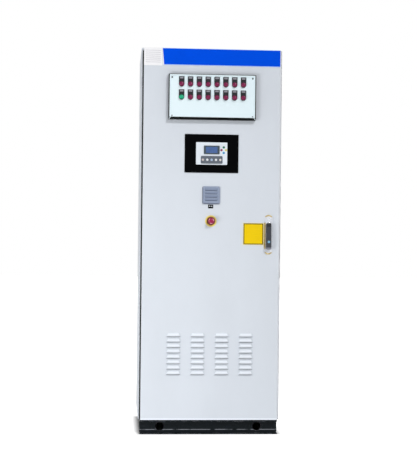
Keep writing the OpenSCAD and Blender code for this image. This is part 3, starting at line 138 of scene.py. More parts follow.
def grained(name, colour, shade, grain_mm, rough, relief_mm=0.0, stretch=(1, 1, 1), **constants):
    """A material whose colour, roughness and relief follow one grain.

    shade is the low places' colour as a share of the high places', rough the
    roughness of the high and the low places, and constants go to SOCKETS.
    """
    material = bpy.data.materials.new(name)
    material.use_nodes = True
    tree = material.node_tree
    shader = tree.nodes["Principled BSDF"]
    for given, value in constants.items():
        shader.inputs[SOCKETS[given]].default_value = value
    place = add(tree, "ShaderNodeTexCoord").outputs["Object"]
    scale = [1 / (MM * grain_mm * s) for s in stretch]
    fine = add(tree, "ShaderNodeMapping", {"Vector": place, "Scale": scale}).outputs[0]
    noise = add(tree, "ShaderNodeTexNoise", {"Vector": fine, "Scale": 1.0, "Detail": 3.0})
    limits = {"Value": noise.outputs[0], "From Min": 0.3, "From Max": 0.7}
    grain = add(tree, "ShaderNodeMapRange", limits).outputs[0]
    tones = {0: grain, 6: tone(colour, shade), 7: tone(colour, 1.0)}
    mixed = add(tree, "ShaderNodeMix", tones, data_type="RGBA")
    limits = {"Value": grain, "To Min": rough[1], "To Max": rough[0]}
    gloss = add(tree, "ShaderNodeMapRange", limits)
    tree.links.new(mixed.outputs[2], shader.inputs["Base Color"])
    tree.links.new(gloss.outputs[0], shader.inputs["Roughness"])
    surface = SimpleNamespace(material=material, tree=tree, shader=shader, place=place)
    if relief_mm:
        raised(surface, grain, relief_mm)
    return surface


def raised(surface, height, relief_mm):
    """Raises a surface's relief where a mask is high, over what it has."""
    normal = surface.shader.inputs["Normal"]
    inputs = {"Height": height, "Distance": relief_mm * MM}
    if normal.is_linked:
        inputs["Normal"] = normal.links[0].from_socket
    bump = add(surface.tree, "ShaderNodeBump", inputs)
    surface.tree.links.new(bump.outputs[0], normal)


def tinted(surface, mask, colour):
    """Paints a surface with a colour where a mask is high."""
    base = surface.shader.inputs["Base Color"]
    paints = {0: mask, 6: base.links[0].from_socket, 7: colour}
    mixed = add(surface.tree, "ShaderNodeMix", paints, data_type="RGBA")
    surface.tree.links.new(mixed.outputs[2], base)


def scuffed(surface, mask, rough):
    """Gives a surface another roughness where a mask is high."""
    socket = surface.shader.inputs["Roughness"]
    mixed = add(surface.tree, "ShaderNodeMix", {0: mask, 2: socket.links[0].from_socket, 3: rough})
    surface.tree.links.new(mixed.outputs[0], socket)


def blotches(surface, size_mm, low, high, stretch=(1, 1, 1)):
    """A mask of soft blotches: 0 below one share of the noise, 1 above another."""
    scale = [1 / (MM * size_mm * s) for s in stretch]
    wide = add(surface.tree, "ShaderNodeMapping", {"Vector": surface.place, "Scale": scale})
    cloud = {"Vector": wide.outputs[0], "Scale": 1.0, "Detail": 4.0, "Roughness": 0.6}
    noise = add(surface.tree, "ShaderNodeTexNoise", cloud)
    limits = {"Value": noise.outputs[0], "From Min": low, "From Max": high}
    return add(surface.tree, "ShaderNodeMapRange", limits).outputs[0]


def edges(surface, width_mm):
    """A mask of the shape's edges, from how far a rounded normal leans from the true one."""
    tree = surface.tree
    bevel = add(tree, "ShaderNodeBevel", {"Radius": width_mm * MM}, samples=4)
    true = add(tree, "ShaderNodeNewGeometry").outputs["Normal"]
    pair = {0: bevel.outputs[0], 1: true}
    lean = add(tree, "ShaderNodeVectorMath", pair, operation="DOT_PRODUCT")
    limits = {"Value": lean.outputs["Value"], "From Min": 0.99, "From Max": 0.86}
    return add(tree, "ShaderNodeMapRange", limits).outputs[0]


def bands(surface, axis, pitch_mm, width_mm, start_mm=0.0):
    """A mask of bands across an axis, each as wide as given, at a pitch."""
    tree = surface.tree
    along = add(tree, "ShaderNodeSeparateXYZ", {0: surface.place}).outputs[axis]
    moved = add(tree, "ShaderNodeMath", {0: along, 1: start_mm * MM}, operation="SUBTRACT")
    pitch = {0: moved.outputs[0], 1: pitch_mm * MM}
    turn = add(tree, "ShaderNodeMath", pitch, operation="FLOORED_MODULO")
    width = {0: turn.outputs[0], 1: width_mm * MM}
    return add(tree, "ShaderNodeMath", width, operation="LESS_THAN").outputs[0]


def between(surface, axis, low, high, soft=0.0005):
    """A mask that is 1 between two places on an axis, in metres, with soft ends."""
    tree = surface.tree
    along = add(tree, "ShaderNodeSeparateXYZ", {0: surface.place}).outputs[axis]
    rise = {"Value": along, "From Min": low - soft, "From Max": low + soft}
    fall = {"Value": along, "From Min": high + soft, "From Max": high - soft}
    ends = [add(tree, "ShaderNodeMapRange", limits).outputs[0] for limits in (rise, fall)]
    return both(surface, *ends)


def both(surface, first, second):
    """A mask that is high where two masks are."""
    masks = {0: first, 1: second}
    return add(surface.tree, "ShaderNodeMath", masks, operation="MULTIPLY").outputs[0]


# Materials, each named for what it is and how its surface was made


def powder_coated_steel(colour):
    # Sheet steel, powder coated and baked: a satin face with a fine orange peel,
    # drawn at 3 mm so that it shows, and a faint drift of tone from thick to thin.
    steel = grained("Powder-coated sheet steel", colour, 0.975, 3.0, (0.4, 0.5), 0.035)
    tinted(steel, blotches(steel, 380, 0.42, 0.7, (1, 1, 2.2)), tone(colour, 0.94))
    thin = both(steel, edges(steel, 2.0), blotches(steel, 40, 0.5, 0.6))
    tinted(steel, thin, tone(colour, 1.12))
    scuffed(steel, blotches(steel, 90, 0.6, 0.72), 0.34)
    return steel.material


def door_skin(colour, low, louvres):
    # The same powder coat on the door, with painted highlights on the slopes of its
    # louvres, which face the light from above, and along its foot, and painted shade
    # on the hinge edge, where the gap beside the side panel lies in shadow.
    steel = grained("Powder-coated sheet steel, louvred", colour, 0.975, 3.0, (0.4, 0.5), 0.035)
    tinted(steel, blotches(steel, 380, 0.42, 0.7, (1, 1, 2.2)), tone(colour, 0.94))
    # Painted highlight: the slopes of the louvres are lighter, as if lit from above.
    slope = between(steel, Y, low.y + 0.0012, low.y + 0.0072, 0.0006)
    bank_top = louvres.first + louvres.rows * louvres.pitch_z
    hood_highlight = both(steel, slope, between(steel, Z, louvres.first, bank_top))
    tinted(steel, hood_highlight, tone(colour, 1.17))
    # Painted highlight: a whiter band along the door's foot.
    foot = between(steel, Z, low.z - 0.001, low.z + 0.0075, 0.001)
    tinted(steel, foot, tone(colour, 1.3))
    thin = both(steel, edges(steel, 2.0), blotches(steel, 40, 0.5, 0.6))
    tinted(steel, thin, tone(colour, 1.12))
    # Painted shade: a dark band on the hinge edge, for the shadowed gap beside it.
    edge = between(steel, X, low.x - 0.001, low.x + 0.0004, 0.0003)
    gap_shade = both(steel, edge, between(steel, Y, low.y + 0.011, low.y + 0.034, 0.0005))
    tinted(steel, gap_shade, linear("#1B1D20"))
    scuffed(steel, blotches(steel, 90, 0.6, 0.72), 0.34)
    return steel.material


def painted_rolled_steel(colour):
    # Hot-rolled channel, brush painted black: mill scale gives it a lumpy skin,
    # feet, forks and bars have scuffed it to grey along its edges, and a broken
    # painted highlight runs where the lower flange's root fillet meets the web.
    steel = grained(
        "Rolled steel, brush painted", colour, 0.7, 7.0, (0.34, 0.55), 0.12, specular=0.09
    )
    wear = both(steel, edges(steel, 2.4), blotches(steel, 26, 0.44, 0.56))
    tinted(steel, wear, linear("#8E8F93"))
    streaks = blotches(steel, 9, 0.63, 0.67, (14, 14, 0.6))
    tinted(steel, streaks, linear("#33363B"))
    scuffed(steel, streaks, 0.62)
    tinted(steel, blotches(steel, 60, 0.55, 0.75), linear("#161B24"))
    toe = both(steel, between(steel, Z, 0.0, 0.006), blotches(steel, 18, 0.46, 0.64))
    tinted(steel, toe, linear("#4A4D55"))
    # Painted highlight: a pale broken line where the lower flange's fillet would catch the light.
    fillet_breaks = blotches(steel, 30, 0.36, 0.5, (2, 2, 9))
    root = both(steel, between(steel, Z, 0.0195, 0.0225, 0.0012), fillet_breaks)
    tinted(steel, root, linear("#8D9199"))
    return steel.material


def zinc_plated_sheet(name="Zinc-plated sheet steel", holes=False):
    # Sheet steel, zinc plated and passivated: a cool silver with a cloudy bloom.
    # The frame's members are punched with a row of system holes every 25 mm, drawn
    # as black spots of painted shade, and its front face has a black strip of painted
    # shade at the hinge edge, for the shadowed gap beside the door.
    zinc = grained(name, linear("#B4B9BF"), 0.86, 14.0, (0.3, 0.42), 0.01, metallic=0.85)
    tinted(zinc, blotches(zinc, 45, 0.5, 0.66), linear("#9DA4AD"))
    if holes:
        # Painted shade: the system holes as black spots.
        row = bands(zinc, Z, 25.0, 12.0, 6.0)
        across, along = (0.3465, 0.3575), (0.2725, 0.2835)
        for axis, (near, far) in ((X, across), (Y, along)):
            for ends in ((-far, -near), (near, far)):
                mask = both(zinc, row, between(zinc, axis, *ends))
                tinted(zinc, mask, linear("#15171A"))
                scuffed(zinc, mask, 0.9)
        # Painted shade: a black strip for the shadowed gap at the hinge edge.
        face = between(zinc, Y, -0.2945, -0.2895)
        tinted(zinc, both(zinc, face, between(zinc, X, -0.3765, -0.366)), linear("#0E0F11"))
    return zinc.material


def machined_steel():
    # Turned and milled steel: fine tool lines and a bright, slightly warm face.
    base = linear("#C4C8CC")
    steel = grained(
        "Machined steel", base, 0.82, 1.2, (0.2, 0.32), 0.01, (1, 1, 0.12), metallic=1.0
    )
    tinted(steel, both(steel, edges(steel, 0.6), blotches(steel, 8, 0.4, 0.6)), linear("#E4E6E8"))
    return steel.material


def extruded_rubber():
    # Extruded rubber: a dull black that goes grey where it is pressed.
    black = linear("#17181A")
    rubber = grained("EPDM rubber, extruded", black, 0.7, 2.0, (0.7, 0.85), 0.05, (1, 1, 8))
    tinted(rubber, edges(rubber, 1.2), linear("#3A3B3E"))
    return rubber.material


def moulded(name, colour, rough=0.42, grain_mm=1.4, relief_mm=0.03, edge=1.25, **constants):
    # Injection-moulded plastic: the mould's spark texture gives a fine even
    # grain, and its corners shine a little where hands and tools rub.
    plastic = grained(
        name, colour, 0.9, grain_mm, (rough - 0.06, rough + 0.08), relief_mm, **constants
    )
    tinted(plastic, edges(plastic, 0.9), tone(colour, edge))
    tinted(plastic, blotches(plastic, 70, 0.5, 0.75), tone(colour, 0.9))
    scuffed(plastic, blotches(plastic, 30, 0.62, 0.7), rough - 0.12)
    return plastic.material


def sounder_shell(low):
    # ABS, moulded blue-grey: a fine spark grain, and painted shade along the foot and
    # the left side, which turn away from the light.
    colour = linear("#929EB6")
    shell = grained("ABS, moulded blue-grey", colour, 0.9, 1.4, (0.38, 0.52), 0.03)
    tinted(shell, edges(shell, 0.9), tone(colour, 0.62))
    tinted(shell, blotches(shell, 70, 0.5, 0.75), tone(colour, 0.9))
    # Painted shade: the foot and the left side are darker.
    skirt = tone(colour, 0.5)
    tinted(shell, between(shell, X, low.x - 0.001, low.x + 0.0042), skirt)
    tinted(shell, between(shell, Z, low.z - 0.001, low.z + 0.0062), skirt)
    return shell.material


def coated_plate(colour):
    # Aluminium plate, anodised and printed: a pale blue-white, almost flat, with
    # the sheet's rolling lines just showing along it.
    plate = grained(
        "Aluminium plate, anodised and printed", colour, 0.985, 1.6, (0.3, 0.38), 0.01,
        (60, 1, 1), coat=0.15, coat_rough=0.2,
    )
    tinted(plate, blotches(plate, 160, 0.5, 0.75), tone(colour, 0.97))
    return plate.material


def vinyl_film(name, colour, rough=0.3, **constants):
    # Cast vinyl film, screen printed: flat colour under a soft gloss, with the
    # squeegee's faint streaks and a paler cut edge.
    film = grained(name, colour, 0.95, 5.0, (rough, rough + 0.1), 0.015, (9, 1, 1), **constants)
    tinted(film, edges(film, 0.6), tone(colour, 1.35))
    tinted(film, blotches(film, 60, 0.52, 0.78), tone(colour, 0.93))
    return film.material


def moulded_lens(name, colour, grid=None, radius=0.0, middle_tone=1.0):
    # Polycarbonate lens, moulded: deep colour under a clear gloss, darker where
    # the wall is thick and lighter where the lamp behind it glows through. Each
    # lens on a grid of places gets painted shade on its lower left side.
    lens = grained(
        name, colour, 0.72, 4.0, (0.16, 0.24), 0.01,
        ior=1.58, coat=0.04, coat_rough=0.1, specular=0.14,
    )
    tinted(lens, edges(lens, 1.4), tone(colour, 0.55))
    if grid:
        place = from_nearest(lens, *grid)
        core = ball(lens, (0, 0), radius * 0.2, radius * 0.75, place)
        tinted(lens, core, tone(colour, middle_tone))
        # Painted shade: a dark crescent on the lower left of each lens, away from the light above.
        base = ball(lens, (radius * 0.28, radius * 0.42), radius * 1.42, radius * 1.02, place)
        tinted(lens, base, tone(colour, 0.2))
    return lens.material


def from_nearest(surface, first, step):
    """The way to a place from the nearest of a grid of (x, z) places."""
    tree = surface.tree
    start = {0: surface.place, 1: (first[0], 0, first[1])}
    away = add(tree, "ShaderNodeVectorMath", start, operation="SUBTRACT")
    half = (step[0] / 2, 1, step[1] / 2)
    cell = {0: away.outputs[0], 1: half, 2: [-h for h in half]}
    return add(tree, "ShaderNodeVectorMath", cell, operation="WRAP").outputs[0]


def ball(surface, middle, near, far, place=None):
    """A mask round an (x, z) place: 1 at one distance from it and 0 at another."""
    tree = surface.tree
    level = {0: place or surface.place, 1: (1, 0, 1)}
    flat = add(tree, "ShaderNodeVectorMath", level, operation="MULTIPLY")
    ends = {0: flat.outputs[0], 1: (middle[0], 0, middle[1])}
    reach = add(tree, "ShaderNodeVectorMath", ends, operation="DISTANCE")
    limits = {"Value": reach.outputs["Value"], "From Min": far, "From Max": near}
    return add(tree, "ShaderNodeMapRange", limits).outputs[0]


def moulded_head(colour, middle, radius):
    # Polyamide, moulded and polished by thumbs: a bright magenta-red crown, with
    # painted shade deepening it to a dark red round the flare, which turns from the light.
    head = grained(
        "Polyamide head, moulded", colour, 0.88, 2.0, (0.26, 0.36), 0.02, specular=0.32
    )
    # Painted shade: a dark red ring round the head's rim.
    tinted(head, ball(head, middle, radius * 0.98, radius * 0.62), linear("#7A1020"))
    return head.material


def matted_black_panel(colour):
    # Acrylic sheet, back printed and matted: a deep black that gives almost no
    # light back, with fine wiping marks and a faint line of light on its edge.
    panel = grained(
        "Acrylic panel, back printed and matted", colour, 0.7, 2.0, (0.5, 0.6), 0.004,
        (30, 1, 2), specular=0.02,
    )
    tinted(panel, both(panel, edges(panel, 0.8), blotches(panel, 20, 0.4, 0.6)), linear("#2A2C30"))
    return panel.material


def display_glass(colour, width, height, left, low):
    # Liquid-crystal window: backlit blue with its faint grid of character
    # cells, brighter towards its middle.
    glass = grained("Liquid-crystal window", colour, 0.9, 3.0, (0.1, 0.16), ior=1.52)
    cells, rows = 16, 4
    cell = width / MM / cells
    grid = bands(glass, X, cell, cell * 0.14, left / MM)
    lines = bands(glass, Z, height / MM / rows, height / MM * 0.035, low / MM)
    tinted(glass, grid, tone(colour, 0.84))
    tinted(glass, lines, tone(colour, 0.8))
    tinted(glass, blotches(glass, 40, 0.45, 0.7), tone(colour, 1.2))
    return glass.material


def chromed_casting(low, high):
    # Zinc casting, satin chromed: a cool pale silver, with painted reflections in warm
    # tan: arcs round its two ends, and a band beside the lever, where it mirrors the
    # placard.
    base = linear("#D3D7DF")
    chrome = grained(
        "Zinc casting, satin chromed", base, 0.94, 9.0, (0.24, 0.36), 0.006, metallic=0.3
    )
    radius = (high.x - low.x) / 2
    middle = (low.x + high.x) / 2
    tan = linear("#B39A45")
    # Painted reflection: tan arcs at both ends.
    for end, way in ((high.z, 1), (low.z, -1)):
        heart = (middle, end - way * radius)
        rim = ball(chrome, heart, radius * 0.84, radius * 0.58)
        ends = sorted((end - way * 0.52 * radius, end + way * 0.01))
        tinted(chrome, both(chrome, rim, between(chrome, Z, *ends, 0.002)), tan)
    # Painted reflection: a tan band beside the lever.
    side = between(chrome, X, low.x - 0.002, low.x + 0.0075, 0.002)
    beside = between(chrome, Z, low.z + 0.03, high.z - 0.042, 0.004)
    tinted(chrome, both(chrome, side, beside), linear("#B59A4A"))
    worn = both(chrome, edges(chrome, 0.8), blotches(chrome, 12, 0.4, 0.55))
    tinted(chrome, worn, linear("#F2F2F2"))
    return chrome.material


def painted_casting(colour, low, high):
    # Zinc casting, stove enamelled charcoal: a satin skin, paler in a band across the
    # lip at its foot, and darker round the hub at its top.
    casting = grained(
        "Zinc casting, stove enamelled", colour, 0.88, 2.2, (0.34, 0.44), 0.03, specular=0.3
    )
    tinted(casting, between(casting, Z, low - 0.01, low + 0.01, 0.004), linear("#7E808B"))
    tinted(casting, between(casting, Z, high - 0.02, high + 0.01, 0.004), linear("#17181C"))
    worn = both(casting, edges(casting, 1.0), blotches(casting, 9, 0.5, 0.6))
    tinted(casting, worn, linear("#8A8C94"))
    return casting.material


def varnished_laminations():
    # Stamped steel sheets, stacked and varnished: thin dark lines run between
    # the sheets, drawn every 3 mm so that they show.
    grey = linear("#5A5E65")
    core = grained("Steel laminations, varnished", grey, 0.8, 16.0, (0.32, 0.46), 0.02)
    lines = bands(core, Y, 3.0, 0.9)
    tinted(core, lines, linear("#33363B"))
    scuffed(core, lines, 0.6)
    tinted(core, blotches(core, 50, 0.55, 0.7), linear("#6E6656"))
    return core.material


def enamelled_winding():
    # Copper wire, enamelled, wound and dipped in varnish: a warm red-brown with
    # glossy drips between the turns.
    wire = grained(
        "Copper winding, varnished", linear("#8E3F22"), 0.6, 5.0, (0.18, 0.34), 0.02,
        metallic=0.35, coat=0.5, coat_rough=0.15,
    )
    tinted(wire, blotches(wire, 22, 0.55, 0.7), linear("#5A2413"))
    return wire.material


def extruded_aluminium():
    # Extruded aluminium, clear anodised: long die lines run up the fins.
    base = linear("#A9ADB2")
    metal = grained(
        "Aluminium, extruded", base, 0.82, 1.5, (0.28, 0.4), 0.02, (1, 1, 90), metallic=1.0
    )
    tinted(metal, blotches(metal, 60, 0.5, 0.7), linear("#8F949A"))
    return metal.material


def drawn_copper():
    # Copper bar, drawn: a salmon metal with draw lines, browned by handling.
    base = linear("#C47A4A")
    bar = grained(
        "Copper bar, drawn", base, 0.8, 1.5, (0.22, 0.36), 0.01, (40, 1, 1), metallic=1.0
    )
    tinted(bar, blotches(bar, 25, 0.5, 0.68), linear("#8A4B2B"))
    return bar.material


def shrink_sleeve():
    # Shrunk plastic sleeve on a can: glossy blue with a puckered end band.
    sleeve = grained("PVC sleeve, shrunk on", linear("#2F4F7A"), 0.85, 6.0, (0.2, 0.3), 0.05)
    tinted(sleeve, blotches(sleeve, 18, 0.55, 0.7), linear("#274368"))
    return sleeve.material


def circuit_board():
    # Glass-epoxy laminate, etched and masked: green resist with paler tracks
    # running both ways and a scatter of tinned pads.
    green = linear("#23583A")
    board = grained("Epoxy laminate, etched and masked", green, 0.85, 3.0, (0.25, 0.35), 0.02)
    across = both(board, bands(board, Z, 7.5, 1.2, 2.0), blotches(board, 30, 0.5, 0.52))
    upward = both(board, bands(board, X, 9.0, 1.2, 1.0), blotches(board, 22, 0.5, 0.52))
    tinted(board, across, linear("#3E8557"))
    tinted(board, upward, linear("#3E8557"))
    tinted(board, blotches(board, 3.2, 0.68, 0.69), linear("#C9CCCF"))
    return board.material


# Meshes


def piece(name, mesh, body, slot, replaces=(), materials=(), crease=32):
    """Puts a mesh in the scene as a piece that rides on a body.

    crease is the least angle, in degrees, at which an edge looks sharp.
    """
    mesh.name = name
    for material in materials:
        mesh.materials.append(material)
    mesh.shade_smooth()
    mesh.set_sharp_from_angle(angle=math.radians(crease))
    made = bpy.data.objects.new(name, mesh)
    bpy.context.scene.collection.objects.link(made)
    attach(made, body)
    if replaces:
        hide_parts(*replaces)
    return made


def plain(source):
    """The evaluated mesh of a helper object, which is then removed."""
    graph = bpy.context.evaluated_depsgraph_get()
    mesh = bpy.data.meshes.new_from_object(source.evaluated_get(graph), depsgraph=graph)
    bpy.data.objects.remove(source)
    return mesh


def helper(mesh):
    """A mesh in the scene for a modifier to work on."""
    made = bpy.data.objects.new(mesh.name + "_helper", mesh)
    bpy.context.scene.collection.objects.link(made)
    return made


def meshed(form, name="form"):
    """A bmesh as a mesh with its faces turned outwards."""
    bmesh.ops.recalc_face_normals(form, faces=form.faces)
    mesh = bpy.data.meshes.new(name)
    form.to_mesh(mesh)
    form.free()
    return mesh


def painted(material, *nodes):
    """Gives CAD nodes a material."""
    for name in nodes:
        for place in frame["nodes"][name].material_slots:
            place.material = material


def body_of(node):
    """The CAD body that a node belongs to."""
    return frame["nodes"][node]["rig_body"]


def slot_of(node):
    """The record's material slot of a node."""
    parts = frame["record"]["subparts"]
    return next(part["material_slot"] for part in parts if part["node"] == node)


def refined(node, materials, soften_mm, choose=None, cutter=None):
    """Stands a copy of a node in its place, with its corners softened.

    choose takes a face's middle and gives the number of its material, and
    cutter is a mesh that is taken away from the copy.
    """
    form = bmesh.new()
    form.from_mesh(frame["nodes"][node].data)
    bmesh.ops.remove_doubles(form, verts=form.verts, dist=SAME_POINT)
    flat = math.radians(0.6)
    bmesh.ops.dissolve_limit(form, angle_limit=flat, verts=form.verts, edges=form.edges)
    for face in form.faces:
        face.material_index = choose(face.calc_center_median()) if choose else 0
    mesh = bpy.data.meshes.new(node + "_form")
    form.to_mesh(mesh)
    form.free()
    for material in materials:
        mesh.materials.append(material)
    source = helper(mesh)
    if cutter:
        tool = helper(cutter)
        cut = source.modifiers.new("Cut", "BOOLEAN")
        cut.object = tool
        cut.solver = "EXACT"
    if soften_mm:
        bevel = source.modifiers.new("Soften", "BEVEL")
        bevel.width = soften_mm * MM
        bevel.segments = 2
        bevel.limit_method = "ANGLE"
        bevel.angle_limit = math.radians(40)
        bevel.use_clamp_overlap = True
    crease = 9 if cutter else 21
    mesh = plain(source)
    made = piece(node + "_finished", mesh, body_of(node), slot_of(node), [node], crease=crease)
    if cutter:
        bpy.data.objects.remove(tool)
    return made


def spaced(low, high, margin, count):
    """Evenly spaced places between two ends, the outer ones at a margin from them."""
    step = (high - low - 2 * margin) / (count - 1)
    return [low + margin + i * step for i in range(count)]


def dimples(places, radius, depth):
    """Shallow pits to press into faces at (point, outward direction) pairs."""
    form = bmesh.new()
    for place, direction in places:
        turn = Vector(direction).to_track_quat("Z", "Y").to_matrix().to_4x4()
        bmesh.ops.create_cone(
            form,
            cap_ends=True,
            segments=24,
            radius1=radius * 0.87,
            radius2=radius * 1.13,
            depth=2 * depth,
            matrix=Matrix.Translation(Vector(place)) @ turn,
        )
    return meshed(form, "dimples")


def sunk(places, depth):
    """Places moved inwards along their directions."""
    return [(Vector(place) - Vector(way) * depth, way) for place, way in places]


def turned(profile, steps, centre, ribs=0, rib_depth=0.0):
    """A body turned about an axis towards the front.

    profile lists (radius, height) pairs from its back to its front, and ribs
    flute the rings that are at full radius.
    """
    form = bmesh.new()
    full = max(radius for radius, _ in profile)
    rings = []
    for radius, height in profile:
        ring = []
        for i in range(steps if radius else 1):
            angle = 2 * math.pi * i / steps
            reach = radius
            if radius > 0.98 * full:
                reach -= rib_depth * (0.5 + 0.5 * math.cos(ribs * angle))
            offset = (reach * math.cos(angle), -height, reach * math.sin(angle))
            ring.append(form.verts.new(Vector(centre) + Vector(offset)))
        rings.append(ring)
    for low, high in zip(rings, rings[1:]):
        for i in range(steps):
            corners = [low[i % len(low)], low[(i + 1) % len(low)]]
            corners += [high[(i + 1) % len(high)], high[i % len(high)]]
            form.faces.new(list(dict.fromkeys(corners)))
    for ring in (rings[0], rings[-1]):
        if len(ring) > 2:
            form.faces.new(ring)
    return meshed(form)


def slab(outline, back, front, soften_mm=0.0):
    """A flat piece from an outline of (x, z) points, between two places on Y."""
    form = bmesh.new()
    face = form.faces.new([form.verts.new((x, back, z)) for x, z in outline])
    moved = bmesh.ops.extrude_face_region(form, geom=[face])["geom"]
    verts = [v for v in moved if isinstance(v, bmesh.types.BMVert)]
    bmesh.ops.translate(form, verts=verts, vec=(0, front - back, 0))
    if soften_mm:
        rim = [e for e in form.edges if all(abs(v.co.y - front) < 1e-6 for v in e.verts)]
        width = soften_mm * MM
        bmesh.ops.bevel(form, geom=rim, offset=width, segments=2, profile=0.5, affect="EDGES")
    return meshed(form)


def box_outline(left, right, low, high, radius=0.0, steps=4):
    """The outline of a box with round corners, as (x, z) points."""
    if not radius:
        return [(left, low), (right, low), (right, high), (left, high)]
    points = []
    near, far, base, top = left + radius, right - radius, low + radius, high - radius
    for quarter, (x, z) in enumerate([(far, top), (near, top), (near, base), (far, base)]):
        for i in range(steps + 1):
            angle = math.pi / 2 * (quarter + i / steps)
            points.append((x + radius * math.cos(angle), z + radius * math.sin(angle)))
    return points


def inset(low, high, margin):
    """The left, right, low and high limits of a box, drawn in by a margin."""
    return low.x + margin, high.x - margin, low.z + margin, high.z - margin


def border(left, right, low, high, width, back, front):
    """A thin frame that lies on the front of something."""
    form = bmesh.new()
    outer = box_outline(left, right, low, high)
    inner = box_outline(left + width, right - width, low + width, high - width)
    loops = []
    for y, ring in ((back, outer), (front, outer), (front, inner), (back, inner)):
        loops.append([form.verts.new((x, y, z)) for x, z in ring])
    for first, second in zip(loops, loops[1:] + loops[:1]):
        joined(form, first, second)
    return meshed(form)


def joined(form, first, second):
    """Joins two rings of as many corners with a band of faces."""
    for i in range(len(first)):
        j = (i + 1) % len(first)
        form.faces.new([first[i], first[j], second[j], second[i]])


# Trees for what repeats


def geometry_tree(name, inputs):
    """A geometry tree with named inputs, given as {name: socket type}."""
    tree = bpy.data.node_groups.new(name, "GeometryNodeTree")
    tree.interface.new_socket("Geometry", in_out="INPUT", socket_type="NodeSocketGeometry")
    for label, kind in inputs.items():
        tree.interface.new_socket(label, in_out="INPUT", socket_type="NodeSocket" + kind)
    tree.interface.new_socket("Geometry", in_out="OUTPUT", socket_type="NodeSocketGeometry")
    return tree, add(tree, "NodeGroupInput").outputs


def finish_tree(tree, given, instances):
    """Ends a tree in real mesh with its material set."""
    real = add(tree, "GeometryNodeRealizeInstances", {"Geometry": instances})
    dressing = {"Geometry": real.outputs[0], "Material": given["Material"]}
    dressed = add(tree, "GeometryNodeSetMaterial", dressing)
    add(tree, "NodeGroupOutput", {0: dressed.outputs[0]})
    return tree


def fastener_tree():
    """Cross-head screws at the points of a mesh, each turned as it happened to stop."""
    tree, given = geometry_tree(
        "Cross-head screws",
        {
            "Head Radius": "Float",
            "Head Height": "Float",
            "Slot Width": "Float",
            "Seed": "Int",
            "Material": "Material",
        },
    )
    top = add(tree, "ShaderNodeCombineXYZ", {2: given["Head Height"]})
    crown = add(tree, "ShaderNodeMath", {0: given["Head Radius"], 1: 0.8}, operation="MULTIPLY")
    cone = {
        "Vertices": 20,
        "Radius Top": crown.outputs[0],
        "Radius Bottom": given["Head Radius"],
        "Depth": given["Head Height"],
    }
    head = add(tree, "GeometryNodeMeshCone", cone)
    reach = add(tree, "ShaderNodeMath", {0: given["Head Radius"], 1: 1.1}, operation="MULTIPLY")
    cross = add(tree, "GeometryNodeMeshBoolean", operation="UNION", solver="EXACT")
    long, short = reach.outputs[0], given["Slot Width"]
    for length, width in ((long, short), (short, long)):
        size = add(tree, "ShaderNodeCombineXYZ", {0: length, 1: width, 2: given["Head Height"]})
        block = add(tree, "GeometryNodeMeshCube", {"Size": size.outputs[0]})
        raise_to = {"Geometry": block.outputs[0], "Translation": top.outputs[0]}
        slot = add(tree, "GeometryNodeTransform", raise_to)
        tree.links.new(slot.outputs[0], cross.inputs["Mesh 2"])
    parts = {"Mesh 1": head.outputs["Mesh"], "Mesh 2": cross.outputs[0]}
    cut = add(tree, "GeometryNodeMeshBoolean", parts, operation="DIFFERENCE", solver="EXACT")
    out = add(tree, "GeometryNodeInputNamedAttribute", {0: "out"}, data_type="FLOAT_VECTOR")
    facing = add(tree, "FunctionNodeAlignRotationToVector", {"Vector": out.outputs[0]}, axis="Z")
    turns = {2: 0.0, 3: math.pi, "Seed": given["Seed"]}
    stop = add(tree, "FunctionNodeRandomValue", turns, data_type="FLOAT")
    spin = add(tree, "FunctionNodeAxisAngleToRotation", {"Axis": UP, "Angle": stop.outputs[1]})
    both_turns = {0: facing.outputs[0], 1: spin.outputs[0]}
    turned_on = add(tree, "FunctionNodeRotateRotation", both_turns, rotation_space="LOCAL")
    copying = {
        "Points": given["Geometry"],
        "Instance": cut.outputs[0],
        "Rotation": turned_on.outputs[0],
    }
    copies = add(tree, "GeometryNodeInstanceOnPoints", copying)
    return finish_tree(tree, given, copies.outputs[0])


def bank_tree():
    """Copies of one part at the points of a mesh."""
    tree, given = geometry_tree(
        "Bank of parts", {"Part": "Object", "Scale": "Float", "Material": "Material"}
    )
    part = add(tree, "GeometryNodeObjectInfo", {"Object": given["Part"], "As Instance": False})
    copying = {
        "Points": given["Geometry"],
        "Instance": part.outputs["Geometry"],
        "Scale": given["Scale"],
    }
    copies = add(tree, "GeometryNodeInstanceOnPoints", copying)
    return finish_tree(tree, given, copies.outputs[0])


def bead_tree():
    """Weld beads along the edges of a mesh, lapped like fallen coins."""
    sizes = {"Bead Radius": "Float", "Bead Pitch": "Float"}
    tree, given = geometry_tree("Weld beads", {**sizes, "Seed": "Int", "Material": "Material"})
    line = add(tree, "GeometryNodeMeshToCurve", {"Mesh": given["Geometry"]})
    spacing = {"Curve": line.outputs[0], "Length": given["Bead Pitch"]}
    points = add(tree, "GeometryNodeCurveToPoints", spacing, mode="LENGTH")
    ball_size = {"Radius": given["Bead Radius"], "Subdivisions": 2}
    bead = add(tree, "GeometryNodeMeshIcoSphere", ball_size)
    shares = {2: 0.8, 3: 1.1, "Seed": given["Seed"]}
    size = add(tree, "FunctionNodeRandomValue", shares, data_type="FLOAT")
    copying = {
        "Points": points.outputs["Points"],
        "Instance": bead.outputs["Mesh"],
        "Scale": size.outputs[1],
    }
    copies = add(tree, "GeometryNodeInstanceOnPoints", copying)
    return finish_tree(tree, given, copies.outputs[0])


